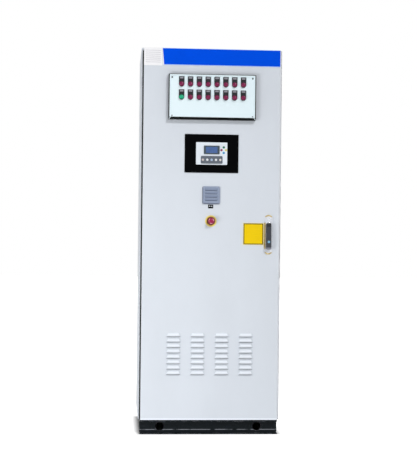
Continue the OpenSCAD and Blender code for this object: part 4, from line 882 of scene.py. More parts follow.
def winding_tree():
    """Turns of wire round a rectangular former, one above another."""
    tree, given = geometry_tree(
        "Winding",
        {
            "Width": "Float",
            "Depth": "Float",
            "Corner Radius": "Float",
            "Wire Radius": "Float",
            "Turns": "Int",
            "Pitch": "Float",
            "Material": "Material",
        },
    )
    sides = {"Width": given["Width"], "Height": given["Depth"]}
    former = add(tree, "GeometryNodeCurvePrimitiveQuadrilateral", sides)
    corner = {"Curve": former.outputs[0], "Radius": given["Corner Radius"], "Count": 5}
    rounded = add(tree, "GeometryNodeFilletCurve", corner, mode="POLY")
    section = {"Resolution": 6, "Radius": given["Wire Radius"]}
    wire = add(tree, "GeometryNodeCurvePrimitiveCircle", section)
    swept = {"Curve": rounded.outputs[0], "Profile Curve": wire.outputs[0]}
    turn = add(tree, "GeometryNodeCurveToMesh", swept)
    rise = add(tree, "ShaderNodeCombineXYZ", {2: given["Pitch"]})
    levels = {"Count": given["Turns"], "Offset": rise.outputs[0]}
    stack = add(tree, "GeometryNodeMeshLine", levels)
    stacked = {"Points": stack.outputs[0], "Instance": turn.outputs[0]}
    turns = add(tree, "GeometryNodeInstanceOnPoints", stacked)
    placed = {"Points": given["Geometry"], "Instance": turns.outputs[0]}
    coils = add(tree, "GeometryNodeInstanceOnPoints", placed)
    return finish_tree(tree, given, coils.outputs[0])


def grown(name, base, tree, values, body, slot):
    """Runs a tree on a base mesh, and keeps the result as a plain piece."""
    source = helper(base)
    modifier = source.modifiers.new(tree.name, "NODES")
    modifier.node_group = tree
    for label, value in values.items():
        modifier[tree.interface.items_tree[label].identifier] = value
    return piece(name, plain(source), body, slot)


def points(places, edges_between=()):
    """A mesh of bare points, with lines between some of them."""
    mesh = bpy.data.meshes.new("points")
    mesh.from_pydata([tuple(p) for p in places], list(edges_between), [])
    return mesh


def screws(name, places, material, radius, body, slot, height=0.6):
    """Screws at (point, outward direction) pairs on one body.

    height is that of the heads, as a share of their radius.
    """
    mesh = points([place for place, _ in places])
    out = mesh.attributes.new("out", "FLOAT_VECTOR", "POINT")
    for item, (_, direction) in zip(out.data, places):
        item.vector = direction
    values = {
        "Head Radius": radius,
        "Head Height": radius * height,
        "Slot Width": radius * 0.3,
        "Seed": bpy.context.scene.charger_sizes.screw_seed,
        "Material": material,
    }
    return grown(name, mesh, tree_named("Cross-head screws"), values, body, slot)


def bank(name, part, places, material, body, slot):
    """Copies of a part's mesh, drawn about the origin, at several places."""
    source = helper(part)
    values = {"Part": source, "Scale": 1.0, "Material": material}
    made = grown(name, points(places), tree_named("Bank of parts"), values, body, slot)
    bpy.data.objects.remove(source)
    return made


def tree_named(name):
    """A geometry tree that a tree function has built."""
    return bpy.data.node_groups[name]


KIT = {}


def kit(name, make, *values):
    """A material by its name, made the first time that it is asked for."""
    if name not in KIT:
        KIT[name] = make(*values)
    return KIT[name]


def zinc():
    """The zinc-plated sheet of the inner plates and rods."""
    return kit("zinc", zinc_plated_sheet)


def steel():
    """The machined steel of the screws, hub and plunger."""
    return kit("steel", machined_steel)


# What a user may change


class ChargerColours(bpy.types.PropertyGroup):
    """Colours of the charger's main finishes"""

    cabinet: FloatVectorProperty(
        name="Cabinet", description="Powder coat of the door and panels",
        subtype="COLOR", size=4, min=0, max=1, default=linear("#D3D9E1"),
    )
    plinth: FloatVectorProperty(
        name="Plinth", description="Paint of the channel plinth",
        subtype="COLOR", size=4, min=0, max=1, default=linear("#0F161A"),
    )
    header: FloatVectorProperty(
        name="Header", description="Film of the header strip",
        subtype="COLOR", size=4, min=0, max=1, default=linear("#0050E6"),
    )
    panel: FloatVectorProperty(
        name="Indicator panel", description="Face of the indicator panel",
        subtype="COLOR", size=4, min=0, max=1, default=linear("#E4F4FA"),
    )
    alarm: FloatVectorProperty(
        name="Alarm lamps", description="Lenses of the fifteen alarm lamps",
        subtype="COLOR", size=4, min=0, max=1, default=linear("#7C1C49"),
    )
    healthy: FloatVectorProperty(
        name="Healthy lamp", description="Lens of the lamp that shows that all is well",
        subtype="COLOR", size=4, min=0, max=1, default=linear("#179A70"),
    )
    placard: FloatVectorProperty(
        name="Placard", description="Film of the placard beside the handle",
        subtype="COLOR", size=4, min=0, max=1, default=linear("#EFCB04"),
    )
    stop: FloatVectorProperty(
        name="Stop button", description="Head of the emergency stop",
        subtype="COLOR", size=4, min=0, max=1, default=linear("#9C0E48"),
    )
    lever: FloatVectorProperty(
        name="Lever", description="Enamel of the handle's lever",
        subtype="COLOR", size=4, min=0, max=1, default=linear("#363941"),
    )
    screen: FloatVectorProperty(
        name="Screen", description="Backlight of the display",
        subtype="COLOR", size=4, min=0, max=1, default=linear("#3D5C93"),
    )


class ChargerSizes(bpy.types.PropertyGroup):
    """Sizes of the small pieces that the finish adds"""

    screw_radius: FloatProperty(
        name="Screw head", description="Radius of the panel screws' heads",
        default=0.0045, min=0.002, max=0.008, unit="LENGTH",
    )
    screw_seed: IntProperty(
        name="Screw turn seed", description="Seed of the angles at which the screws stopped",
        default=7, min=0,
    )
    bead_radius: FloatProperty(
        name="Weld bead", description="Radius of the plinth's weld beads",
        default=0.003, min=0.001, max=0.006, unit="LENGTH",
    )
    wire_radius: FloatProperty(
        name="Winding wire", description="Radius of the transformer's outer wire",
        default=0.0014, min=0.0008, max=0.003, unit="LENGTH",
    )
    lens_ribs: IntProperty(
        name="Lens flutes", description="Flutes round the skirt of a lamp's lens",
        default=20, min=0, max=60,
    )
    border_width: FloatProperty(
        name="Placard border", description="Width of the dark line round the placard",
        default=0.0048, min=0.001, max=0.01, unit="LENGTH",
    )


class ChargerStage(bpy.types.PropertyGroup):
    """Camera and light"""

    camera_place: FloatVectorProperty(
        name="Camera place", description="Where the camera stands",
        subtype="TRANSLATION", unit="LENGTH", default=(-0.489, -6.645, 1.031),
    )
    camera_turn: FloatVectorProperty(
        name="Camera turn", description="Pitch, roll and yaw of the camera",
        subtype="EULER", unit="ROTATION",
        default=(math.radians(0.36), math.radians(0.61), math.radians(4.32)),
    )
    camera_lens: FloatProperty(
        name="Lens", description="Focal length, in millimetres for a 36 mm sensor",
        default=90.29, min=20, max=300,
    )
    key_power: FloatProperty(
        name="Key light", description="Strength of the soft sun from the upper right",
        default=1.44, min=0,
    )
    fill_power: FloatProperty(
        name="Fill light", description="Power of the low soft lamp at the front left, in watts",
        default=52.0, min=0,
    )
    sky: FloatProperty(
        name="Room light", description="Strength of the even light from all round",
        default=0.36, min=0, max=2,
    )


# One operator for each piece or group of like pieces


class CHARGER_OT_plinth(bpy.types.Operator):
    """Paints the channel plinth and welds its corners"""

    bl_idname = "charger.plinth"
    bl_label = "Plinth"
    weld_ends = (0.012, 0.063)

    def execute(self, context):
        colours, sizes = context.scene.charger_colours, context.scene.charger_sizes
        paint = painted_rolled_steel(tuple(colours.plinth))
        for node in ("plinth_front_channel", "plinth_rear_channel", "plinth_side_channels"):
            refined(node, [paint], 1.2)
        low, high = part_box("plinth_side_channels")
        corners = [(x, y) for x in (low.x, high.x) for y in (low.y, high.y)]
        lines = [(x, y, z) for x, y in corners for z in self.weld_ends]
        pairs = [(i, i + 1) for i in range(0, len(lines), 2)]
        values = {
            "Bead Radius": sizes.bead_radius,
            "Bead Pitch": sizes.bead_radius * 0.8,
            "Seed": sizes.screw_seed,
            "Material": paint,
        }
        grown("plinth_welds", points(lines, pairs), bead_tree(), values, "cabinet", "plinth_black")
        return {"FINISHED"}


class CHARGER_OT_cabinet(bpy.types.Operator):
    """Finishes the panels, roof, frame, floor, seal and hinges"""

    bl_idname = "charger.cabinet"
    bl_label = "Cabinet"
    louvre_depth, dimple_depth, gland_plate = 0.008, 0.0014, 0.003
    flat_head = 0.28

    def execute(self, context):
        colours, sizes = context.scene.charger_colours, context.scene.charger_sizes
        coat = powder_coated_steel(tuple(colours.cabinet))
        painted(coat, "rear_panel")
        framework = zinc_plated_sheet("Zinc-plated frame section, punched", holes=True)
        painted(framework, "front_frame", "rear_frame")
        painted(zinc(), "frame_rails", "floor_plate", "mounting_plate")
        painted(extruded_rubber(), "rim_seal")
        black = moulded("ABS, moulded black", linear("#1E2024"), 0.4)
        refined("hinge_pins", [black], 0.4)
        refined("hinge_barrels", [black], 0.4)
        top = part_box("floor_plate")[1].z + 0.0032
        base = top - 0.0035
        gland = moulded("Polyamide gland, moulded", linear("#3A3D42"), 0.45)
        refined("cable_glands", [zinc(), gland], 0.7, lambda p: int(p.z > top or p.z < base))
        self.fasten(steel(), sizes.screw_radius, coat)
        return {"FINISHED"}

    def fasten(self, metal, radius, coat):
        """Screws the panels on in pressed dimples, and the inner plates down."""
        low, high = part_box("rear_panel")
        face = high.y - self.louvre_depth
        places = [
            ((x, face, z), REAR)
            for z in spaced(low.z, high.z, 0.06, 7)
            for x in spaced(low.x, high.x, 0.022, 2)
        ]
        for node, side in (("left_side_panel", -1), ("right_side_panel", 1)):
            low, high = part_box(node)
            face = low.x if side < 0 else high.x
            spots = [
                ((face, y, z), (side, 0, 0))
                for z in spaced(low.z, high.z, 0.08, 6)
                for y in spaced(low.y, high.y, 0.03, 2)
            ]
            places += self.pressed(node, spots, coat, radius)
        low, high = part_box("roof_panel")
        spots = [
            ((x, y, high.z), UP)
            for x in spaced(low.x, high.x, 0.04, 2)
            for y in spaced(low.y, high.y, 0.05, 2)
        ]
        places += self.pressed("roof_panel", spots, coat, radius)
        screws("panel_screws", places, metal, radius, "cabinet", "hub_steel", self.flat_head)
        low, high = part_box("cable_glands")
        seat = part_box("floor_plate")[1].z + self.gland_plate
        places = [
            ((x, y, seat), UP)
            for x in spaced(low.x, high.x, 0.008, 4)
            for y in spaced(low.y, high.y, 0.006, 2)
        ]
        low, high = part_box("mounting_plate")
        places += [
            ((x, low.y, z), FRONT)
            for z in spaced(low.z, high.z, 0.03, 5)
            for x in spaced(low.x, high.x, 0.012, 2)
        ]
        screws("inner_screws", places, metal, radius * 0.8, "cabinet", "hub_steel")

    def pressed(self, node, spots, coat, radius):
        """Presses dimples into a panel, and gives the screws' places on their floors."""
        refined(node, [coat], 0.0, cutter=dimples(spots, 2 * radius, self.dimple_depth))
        return sunk(spots, self.dimple_depth)


class CHARGER_OT_door(bpy.types.Operator):
    """Finishes the door, its stiffeners and locking rods"""

    bl_idname = "charger.door"
    bl_label = "Door"
    # The bank of louvres: how many, how far apart, the height of the first row
    # above the floor and the width of each.
    columns, rows = 4, 8
    pitch_x, pitch_z = 0.1296, 0.029
    first = 0.321
    louvre_width = 0.0735
    # The outer face and the front edge of the side panel at the lock side.
    jamb, face = 0.3799, -0.293

    def execute(self, context):
        colours = context.scene.charger_colours
        low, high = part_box("door")
        painted(door_skin(tuple(colours.cabinet), low, self), "door")
        # Painted light: pale strips over the lock-side gap, so that its shadow does not show.
        gap_light_strip = moulded("PVC edge trim, extruded pale grey", linear("#F2F5F9"), 0.5, 2.0, 0.02)
        seal, wall = self.face - 0.01, self.jamb - 0.005
        for name, start, back in (("lip", high.x + 0.0007, seal), ("edge", wall, self.face)):
            outline = box_outline(start, self.jamb, low.z, high.z)
            strip = slab(outline, back - BED, seal - 0.0006)
            piece(f"lock_side_{name}", strip, "cabinet", "powder_coat_grey", materials=[gap_light_strip])
        painted(zinc(), "door_stiffeners")
        for node in ("upper_rod", "lower_rod"):
            refined(node, [zinc()], 0.4)
        self.lips()
        return {"FINISHED"}

    def lips(self):
        """A dark strip along the mouth of each louvre: its bare cut edge and painted shade under
        the hood.
        """
        # Painted shade: the dark strip also stands for the shadow under each hood.
        edge = grained("Sheet steel, sheared edge", linear("#34383E"), 0.7, 2.0, (0.5, 0.7), 0.02)
        half, thick = self.louvre_width / 2, 0.0018
        lip = slab(box_outline(-half, half, 0.0, thick), 0.0012, -BED)
        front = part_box("door")[0].y
        across = [(i - (self.columns - 1) / 2) * self.pitch_x for i in range(self.columns)]
        heights = [self.first + i * self.pitch_z for i in range(self.rows)]
        places = [(x, front, z) for x in across for z in heights]
        bank("louvre_lips", lip, places, edge.material, "door", "powder_coat_grey")


class CHARGER_OT_films(bpy.types.Operator):
    """Lays the header strip, the corner label, the placard and the small black label"""

    bl_idname = "charger.films"
    bl_label = "Header, labels and placard"
    ink = 0.0002
    rules, rule_step = 7, 0.0105
    tag_foot, tag_top, tag_half = 1.214, 1.234, 0.014

    def execute(self, context):
        colours, sizes = context.scene.charger_colours, context.scene.charger_sizes
        blue = vinyl_film("Vinyl film, printed blue", tuple(colours.header), 0.45, specular=0.02)
        refined("header_strip", [blue], 0.3)
        low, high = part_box("header_strip")
        pale = vinyl_film("Vinyl film, printed pale blue", linear("#9CC2FF"))
        thick = 0.0022
        for name, z in (("header_lower_line", low.z), ("header_upper_line", high.z - thick)):
            line = slab(box_outline(low.x, high.x, z, z + thick), low.y + BED, low.y - self.ink)
            piece(name, line, "door", "header_blue", materials=[pale])
        label = vinyl_film("Vinyl label, printed white", linear("#F4F4F7"), 0.4)
        refined("corner_label", [label], 0.3)
        tip, end = low.x - 0.001, low.x + 0.0065
        corner = [(tip, low.z), (end, low.z), (tip, high.z)]
        lap = slab(corner, low.y + BED, low.y - 0.0003)
        piece("corner_label_lap", lap, "door", "label_white", materials=[label])
        low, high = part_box("corner_label")
        grey = vinyl_film("Vinyl label, ruled grey", linear("#B9B8BF"), 0.5)
        reach = (high.x - low.x) * 0.42
        rule = slab(box_outline(-reach, reach, -0.0011, 0.0011), 0.0, -0.00015)
        middle, top = (low.x + high.x) / 2, high.z - 0.014
        rows = [(middle, low.y, top - i * self.rule_step) for i in range(self.rules)]
        bank("corner_label_rules", rule, rows, grey, "door", "label_white")
        self.placard(tuple(colours.placard), sizes.border_width)
        low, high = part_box("sounder")
        black = vinyl_film("Vinyl label, printed black", linear("#07080C"), 0.4, specular=0.05)
        middle = (low.x + high.x) / 2 - 0.002
        left, right = middle - self.tag_half, middle + self.tag_half
        outline = box_outline(left, right, self.tag_foot, self.tag_top, 0.001)
        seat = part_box("stop_button_disc")[1].y
        front = seat - 0.0008
        tag = slab(outline, seat, front, 0.2)
        piece("sounder_tag", tag, "door", "surround_black", materials=[black])
        light = vinyl_film("Vinyl label, printed pale squares", linear("#D5D8DE"), 0.4)
        square = slab(box_outline(-0.0032, 0.0032, -0.002, 0.002, 0.0005), 0.0, -self.ink)
        pair = [(middle + side * 0.0054, front, self.tag_top - 0.0085) for side in (-1, 1)]
        bank("sounder_tag_squares", square, pair, light, "door", "label_white")
        return {"FINISHED"}

    def placard(self, colour, width):
        """The placard with its dark line inside a pale margin."""
        film = vinyl_film("Vinyl film, printed yellow", colour, 0.35, specular=0.15)
        refined("yellow_placard", [film], 0.3)
        low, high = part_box("yellow_placard")
        ends = low.y + BED, low.y - self.ink
        margin = vinyl_film("Vinyl film, unprinted margin", linear("#E9DFA6"), 0.3)
        edge = 0.0035
        pale = border(*inset(low, high, 0.0003), edge, *ends)
        piece("placard_margin", pale, "door", "placard_yellow", materials=[margin])
        line = border(*inset(low, high, edge), width, *ends)
        brown = vinyl_film(
            "Vinyl film, printed olive brown", linear("#4A3B05"), 0.35, specular=0.2
        )
        piece("placard_line", line, "door", "placard_yellow", materials=[brown])


class CHARGER_OT_indicators(bpy.types.Operator):
    """Finishes the indicator panel and its sixteen lamps"""

    bl_idname = "charger.indicators"
    bl_label = "Indicator panel and lamps"
    lens_steps, dome_rings = 60, 6
    # The height of a lens's skirt, as a share of the lens's depth.
    skirt = 0.42
    card_rise = 0.0335

    def execute(self, context):
        colours, sizes = context.scene.charger_colours, context.scene.charger_sizes
        frame_black = moulded("ABS, moulded black, satin", linear("#050607"), 0.4, specular=0.06)
        refined("indicator_frame", [frame_black], 0.9)
        self.rim(frame_black, tuple(colours.panel))
        painted(coated_plate(tuple(colours.panel)), "indicator_plate")
        holder = moulded("Polyamide, moulded black", linear("#1A1B20"), 0.45, specular=0.25)
        refined("lamp_holders", [holder], 0.8)
        low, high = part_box("indicator_plate")
        corners = [
            ((x, low.y, z), FRONT)
            for x in spaced(low.x, high.x, 0.012, 2)
            for z in spaced(low.z, high.z, 0.012, 2)
        ]
        dark = grained(
            "Steel, blackened", linear("#3C3F45"), 0.8, 1.5, (0.35, 0.5), 0.02, metallic=0.8
        )
        screws("indicator_screws", corners, dark.material, sizes.screw_radius, "door", "hub_steel")
        self.lamps(colours, sizes)
        return {"FINISHED"}

    def rim(self, black, pale):
        """The pale rim inside the black frame, and the black sill under it, partly painted shade
        below the rim.
        """
        low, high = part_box("indicator_frame")
        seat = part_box("indicator_plate")[0].y + 0.0002
        white = moulded("ABS rim, moulded white", tone(pale, 1.02), 0.4, 2.0, 0.02)
        left, right, foot, top = inset(low, high, 0.005)
        strip = border(left, right, foot + 0.008, top + 0.002, 0.007, seat, low.y - 0.0006)
        piece("indicator_rim", strip, "door", "panel_white", materials=[white])
        # Painted shade: the sill widens the black at the frame's foot, where shadow falls.
        wall = 0.0052
        outline = box_outline(low.x + wall, high.x - wall, low.z + wall, low.z + 0.0132)
        sill = slab(outline, seat, low.y)
        piece("indicator_sill", sill, "door", "moulded_black", materials=[black])
        for name, x, way in (("left", low.x + 0.0005, 1), ("right", high.x - 0.0005, -1)):
            foot, tip = (x, low.z + 0.0005), (x + way * 0.0135, low.z + 0.0145)
            mitre = [foot, (foot[0] + way * 0.003, foot[1]), tip, (tip[0] - way * 0.003, tip[1])]
            joint = slab(mitre[::way], low.y + 0.0004, low.y - 0.0004)
            piece(f"indicator_mitre_{name}", joint, "door", "panel_white", materials=[white])

    def lamps(self, colours, sizes):
        """Lenses with fluted skirts, and the legend inserts over them."""
        middles, radius = self.middles()
        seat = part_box("lamp_holders")[0].y
        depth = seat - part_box("red_lenses")[0].y
        profile = [(radius * 0.98, -0.0005), (radius, 0.0), (radius, depth * self.skirt)]
        for i in range(1, self.dome_rings + 1):
            angle = math.pi / 2 * i / self.dome_rings
            reach = radius * 0.96 * math.cos(angle) if i < self.dome_rings else 0.0
            profile.append((reach, depth * (self.skirt + (1 - self.skirt) * math.sin(angle))))
        lens = turned(profile, self.lens_steps, (0, 0, 0), sizes.lens_ribs, 0.0006)
        spots = [(x, seat, z) for x, z in middles]
        by_row = [(round(z, 3), x) for x, z in middles]
        green = by_row.index(min(by_row))
        step = [self.spacing(places) for places in zip(*middles)]
        grid = (middles[green], step)
        crimson = moulded_lens(
            "Polycarbonate lens, moulded crimson", tuple(colours.alarm), grid, radius
        )
        others = [spot for i, spot in enumerate(spots) if i != green]
        reds = bank("alarm_lenses", lens.copy(), others, crimson, "door", "lens_magenta")
        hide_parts("red_lenses")
        jade = moulded_lens(
            "Polycarbonate lens, moulded green", tuple(colours.healthy), grid, radius, 1.25
        )
        one = bank("healthy_lens", lens, [spots[green]], jade, "door", "lens_green")
        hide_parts("green_lens")
        insert = slab(box_outline(-0.0095, 0.0095, -0.0042, 0.0042, 0.001), 0.0, -0.0004, 0.15)
        card = vinyl_film("Legend card, printed grey", linear("#8B8A93"), 0.35)
        tops = [(x, seat, z + self.card_rise) for x, z in middles]
        bank("legend_inserts", insert, tops, card, "door", "label_white")

    def spacing(self, places):
        """The step between evenly spaced places."""
        ordered = sorted({round(place, 5) for place in places})
        return ordered[1] - ordered[0]

    def middles(self):
        """The (x, z) middle of each of the CAD's own lenses, and their radius."""
        found = []
        for node in ("red_lenses", "green_lens"):
            form = bmesh.new()
            form.from_mesh(frame["nodes"][node].data)
            bmesh.ops.remove_doubles(form, verts=form.verts, dist=SAME_POINT)
            for island in islands(form):
                xs = [v.co.x for v in island]
                zs = [v.co.z for v in island]
                found.append(((min(xs) + max(xs)) / 2, (min(zs) + max(zs)) / 2))
                radius = (max(xs) - min(xs)) / 2
            form.free()
        return found, radius


def islands(form):
    """The vertices of each separate solid of a bmesh."""
    left = set(form.verts)
    while left:
        start = left.pop()
        found, queue = [start], [start]
        while queue:
            for edge in queue.pop().link_edges:
                for vert in edge.verts:
                    if vert in left:
                        left.discard(vert)
                        found.append(vert)
                        queue.append(vert)
        yield found


class CHARGER_OT_controller(bpy.types.Operator):
    """Finishes the controller, its display, status lenses and keypad"""

    bl_idname = "charger.controller"
    bl_label = "Controller and keypad"
    lens_radius = 0.0045
    screen_width, screen_height = 0.0616, 0.0326
    keys = (
        ("rose grey", "#C9BEBE"),
        ("white", "#E6EAEE"),
        ("blue", "#A9BEDA"),
        ("white", "#E6EAEE"),
        ("cream", "#DDD8D0"),
    )
    # Each status lens: its name, its colour, the colour of the ring that is
    # printed round it, and its way from the middle of the diamond.
    lenses = (
        ("teal", "#17705C", "#2C6E52", (0, 1)),
        ("straw", "#E8DC7A", "#E9E2A0", (1, 0)),
        ("blue", "#4FA2DE", "#57A3C9", (0, -1)),
        ("maroon", "#9C3A60", "#8E4A6E", (-1, 0)),
    )

    def execute(self, context):
        colours = context.scene.charger_colours
        refined("controller_surround", [matted_black_panel(linear("#030304"))], 0.5)
        case = moulded("ABS, moulded pale grey", linear("#E2E9F1"), 0.42)
        refined("controller_case", [case], 1.0)
        bezel = moulded("ABS, moulded slate", linear("#3E4B55"), 0.42, specular=0.3)
        refined("display_bezel", [bezel], 0.8)
        low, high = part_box("display_bezel")
        middle, height = (low.x + high.x) / 2, (low.z + high.z) / 2
        wide, tall = self.screen_width, self.screen_height
        left, base = middle - wide / 2, height - tall / 2
        glass = display_glass(tuple(colours.screen), wide, tall, left, base)
        outline = box_outline(left, left + wide, base, base + tall)
        window = slab(outline, low.y + 0.0014, low.y + 0.0006)
        piece("display_window", window, "door", "bezel_slate", materials=[glass])
        self.status()
        pad = moulded("Silicone membrane, moulded grey", linear("#575E69"), 0.55, 1.0, 0.02)
        refined("keypad_strip", [pad], 0.5)
        for i, (name, code) in enumerate(self.keys, 1):
            key = kit("key " + name, moulded, "ABS key, moulded " + name, linear(code), 0.36)
            refined(f"key_{i}", [key], 0.25)
        return {"FINISHED"}

    def status(self):
        """The four status lenses round the diamond, each in its own colour."""
        low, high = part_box("status_lenses")
        middle = Vector(((low.x + high.x) / 2, 0, (low.z + high.z) / 2))

        def side(place):
            away = place - middle
            if abs(away.z) > abs(away.x):
                return 0 if away.z > 0 else 2
            return 1 if away.x > 0 else 3

        domes = [
            moulded_lens(f"Status lens, moulded {name}", linear(code))
            for name, code, _, _ in self.lenses
        ]
        refined("status_lenses", domes, 0.0, side)
        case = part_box("controller_case")[0].y
        section = [(0.0066, -0.0002), (0.0066, 0.0003), (0.0060, 0.0004), (0.0, 0.0004)]
        washer = turned(section, 32, (0, 0, 0))
        reach_x = (high.x - low.x) / 2 - self.lens_radius
        reach_z = (high.z - low.z) / 2 - self.lens_radius
        for name, _, code, (x, z) in self.lenses:
            ring = vinyl_film(f"Overlay, printed {name}", linear(code), 0.35)
            spot = (middle.x + x * reach_x, case, middle.z + z * reach_z)
            bank(f"status_ring_{name}", washer.copy(), [spot], ring, "door", "lens_clear")


class CHARGER_OT_sounder(bpy.types.Operator):
    """Finishes the sounder, with the gauze behind its slots"""

    bl_idname = "charger.sounder"
    bl_label = "Sounder"
    slots, slot_pitch = 4, 0.018
    # How far the grille is let into the shell, and the screws from its middle.
    recess, screw_reach = 0.005, 0.0435

    def execute(self, context):
        refined("sounder", [sounder_shell(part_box("sounder")[0])], 0.9)
        low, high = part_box("sounder")
        middle = (low.x + high.x) / 2
        height = (low.z + high.z) / 2
        dark = moulded("Gauze, woven grey", linear("#5E6A80"), 0.75, 1.2, 0.2, 1.3)
        strip = slab(box_outline(-0.0328, 0.0328, -0.0033, 0.0033), 0.0, -0.0012)
        floor = low.y + self.recess
        heights = [
            height + (i - (self.slots - 1) / 2) * self.slot_pitch for i in range(self.slots)
        ]
        rows = [(middle, floor, z) for z in heights]
        bank("sounder_gauze", strip, rows, dark, "door", "moulded_black")
        slate = moulded("ABS blade, moulded slate blue", linear("#7A87A0"), 0.5, edge=1.1)
        blade = self.blade(0.0355, 0.011, 0.0012)
        rows = [(middle, low.y, z + 0.0052) for z in heights]
        bank("sounder_blades", blade, rows, slate, "door", "sounder_grey")
        ways = (-self.screw_reach, self.screw_reach)
        corners = [((middle + x, floor, height + z), FRONT) for x in ways for z in ways]
        screws("sounder_screws", corners, steel(), 0.0028, "door", "hub_steel")
        return {"FINISHED"}

    def blade(self, half_width, height, depth):
        """A grille blade that leans out over its slot: flush at the top, proud below."""
        form = bmesh.new()
        root, top = 0.0004, -0.0002
        half = height / 2
        section = [(root, half), (top, half), (-depth, -half), (root, -half)]
        sides = (-half_width, half_width)
        ends = [[form.verts.new((x, y, z)) for y, z in section] for x in sides]
        joined(form, *ends)
        form.faces.new(ends[0])
        form.faces.new(ends[1])
        return meshed(form)


class CHARGER_OT_stop(bpy.types.Operator):
    """Finishes the emergency stop"""

    bl_idname = "charger.emergency_stop"
    bl_label = "Emergency stop"
    # The curved marks: how many, the turn that each covers, its steps, and how
    # far the head's dished middle lies behind its front.
    marks, mark_turn, mark_steps, sink = 3, math.radians(62), 8, 0.003

    def execute(self, context):
        colours = context.scene.charger_colours
        low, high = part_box("stop_button_disc")
        disc = grained("ABS, moulded yellow", linear("#EED873"), 0.9, 1.4, (0.34, 0.46), 0.03)
        heart = ((low.x + high.x) / 2, (low.z + high.z) / 2)
        reach = (high.x - low.x) / 2
        # Painted shade: the disc is darker gold under and round the head.
        tinted(disc, ball(disc, heart, reach * 0.72, reach * 0.84), linear("#8F6220"))
        refined("stop_button_disc", [disc.material], 0.3)
        # A small radius, so that the body's bore stays clear of the pressed plunger.
        # Painted shade: the body is coloured dark red-brown to stand for the shaded red between
        # head and disc.
        bezel = moulded("Polyamide, moulded dark brown", linear("#3A2012"), 0.45, specular=0.2)
        refined("stop_button_body", [bezel], 0.35)
        painted(steel(), "stop_plunger")
        low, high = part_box("stop_head")
        middle = Vector(((low.x + high.x) / 2, low.y, (low.z + high.z) / 2))
        radius = (high.x - low.x) / 2
        red = moulded_head(tuple(colours.stop), (middle.x, middle.z), radius)
        refined("stop_head", [red], 1.0)
        self.turn_marks(middle, radius)
        return {"FINISHED"}

    def turn_marks(self, middle, radius):
        """Three pale curved marks that show that the head turns to let go."""
        form = bmesh.new()
        track, half_width, height = radius * 0.7, radius * 0.1, 0.0012
        for mark in range(self.marks):
            rings = []
            for i in range(self.mark_steps + 1):
                along = i / self.mark_steps
                angle = 2 * math.pi / self.marks * mark + self.mark_turn * along
                ray = Vector((math.cos(angle), 0, math.sin(angle)))
                spread = half_width * (1 - along * 0.8)
                ring = []
                section = ((-spread, 0), (spread, 0), (spread, height), (-spread, height))
                for reach, lift in section:
                    place = middle + ray * (track + reach)
                    ring.append(form.verts.new(place - Vector((0, lift - self.sink, 0))))
                rings.append(ring)
            for first, second in zip(rings, rings[1:]):
                joined(form, first, second)
            form.faces.new(rings[0])
            form.faces.new(rings[-1])
        pale = moulded("Pale ink, pad printed", linear("#F2B4C4"), 0.4, 2.0, 0.02)
        piece("stop_turn_marks", meshed(form), "stop_head", "stop_red", materials=[pale])


class CHARGER_OT_handle(bpy.types.Operator):
    """Finishes the swing handle and its lock"""

    bl_idname = "charger.handle"
    bl_label = "Handle"

    def execute(self, context):
        colours = context.scene.charger_colours
        low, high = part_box("handle_escutcheon")
        chrome = chromed_casting(low, high)
        refined("handle_escutcheon", [chrome], 0.6)
        refined("handle_hub", [steel()], 0.25)
        low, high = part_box("handle_lever")
        refined("handle_lever", [painted_casting(tuple(colours.lever), low.z, high.z)], 1.4)
        blue = moulded("Acetal lock cap, moulded blue", linear("#7FB9DA"), 0.25)
        refined("lock_cylinder", [blue], 0.4)
        low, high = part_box("lock_cylinder")
        middle, half, margin = (low.x + high.x) / 2, 0.0009, 0.003
        foot, top = low.z + margin, high.z - margin
        outline = box_outline(middle - half, middle + half, foot, top, 0.0008)
        slot = slab(outline, low.y + 0.0002, low.y - BED)
        dark = moulded("Keyway, broached", linear("#1C2730"), 0.5)
        piece("keyway", slot, "lock_cylinder", "lock_blue", materials=[dark])
        return {"FINISHED"}


class CHARGER_OT_power(bpy.types.Operator):
    """Finishes the transformer, choke, rectifier, capacitors and busbars"""

    bl_idname = "charger.power"
    bl_label = "Power parts"
    # The choke's coils: where they stand past its core on Y, and on X and Z
    # inside its windows.
    stack, limb, window, window_low, window_high = 0.0455, 0.0172, 0.0457, 0.162, 0.266
    # The outer width and corner radius of a transformer coil, and the play
    # between its turns and its ends.
    coil_width, coil_corner, coil_end = 0.1366, 0.037, 0.004

    def execute(self, context):
        core = varnished_laminations()
        wire = enamelled_winding()
        refined("transformer_core", [core], 0.8)
        painted(wire, "transformer_coils")
        low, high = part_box("smoothing_choke")
        middle = (low.x + high.x) / 2

        def wound(place):
            inside = self.limb < abs(place.x - middle) < self.window
            level = self.window_low < place.z < self.window_high
            return int(abs(place.y) > self.stack or (inside and level))

        refined("smoothing_choke", [core, wire], 0.8, wound)
        self.wind(context.scene.charger_sizes.wire_radius, wire)
        painted(extruded_aluminium(), "rectifier_heatsink")
        black = moulded("Phenolic, moulded black", linear("#232529"), 0.4)
        refined("thyristor_modules", [black], 1.4)
        painted(shrink_sleeve(), "filter_capacitors")
        refined("busbars", [drawn_copper()], 0.8)
        return {"FINISHED"}

    def wind(self, wire_radius, wire):
        """Lays the outer turns on each coil."""
        tree = winding_tree()
        low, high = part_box("transformer_coils")
        pitch = 2.1 * wire_radius
        foot = low.z + self.coil_end
        starts = [(x, 0.0, foot) for x in spaced(low.x, high.x, self.coil_width / 2, 3)]
        values = {
            "Width": self.coil_width,
            "Depth": high.y - low.y,
            "Corner Radius": self.coil_corner,
            "Wire Radius": wire_radius,
            "Turns": int((high.z - low.z - 2 * self.coil_end) / pitch),
            "Pitch": pitch,
            "Material": wire,
        }
        grown("transformer_turns", points(starts), tree, values, "cabinet", "coil_varnish")


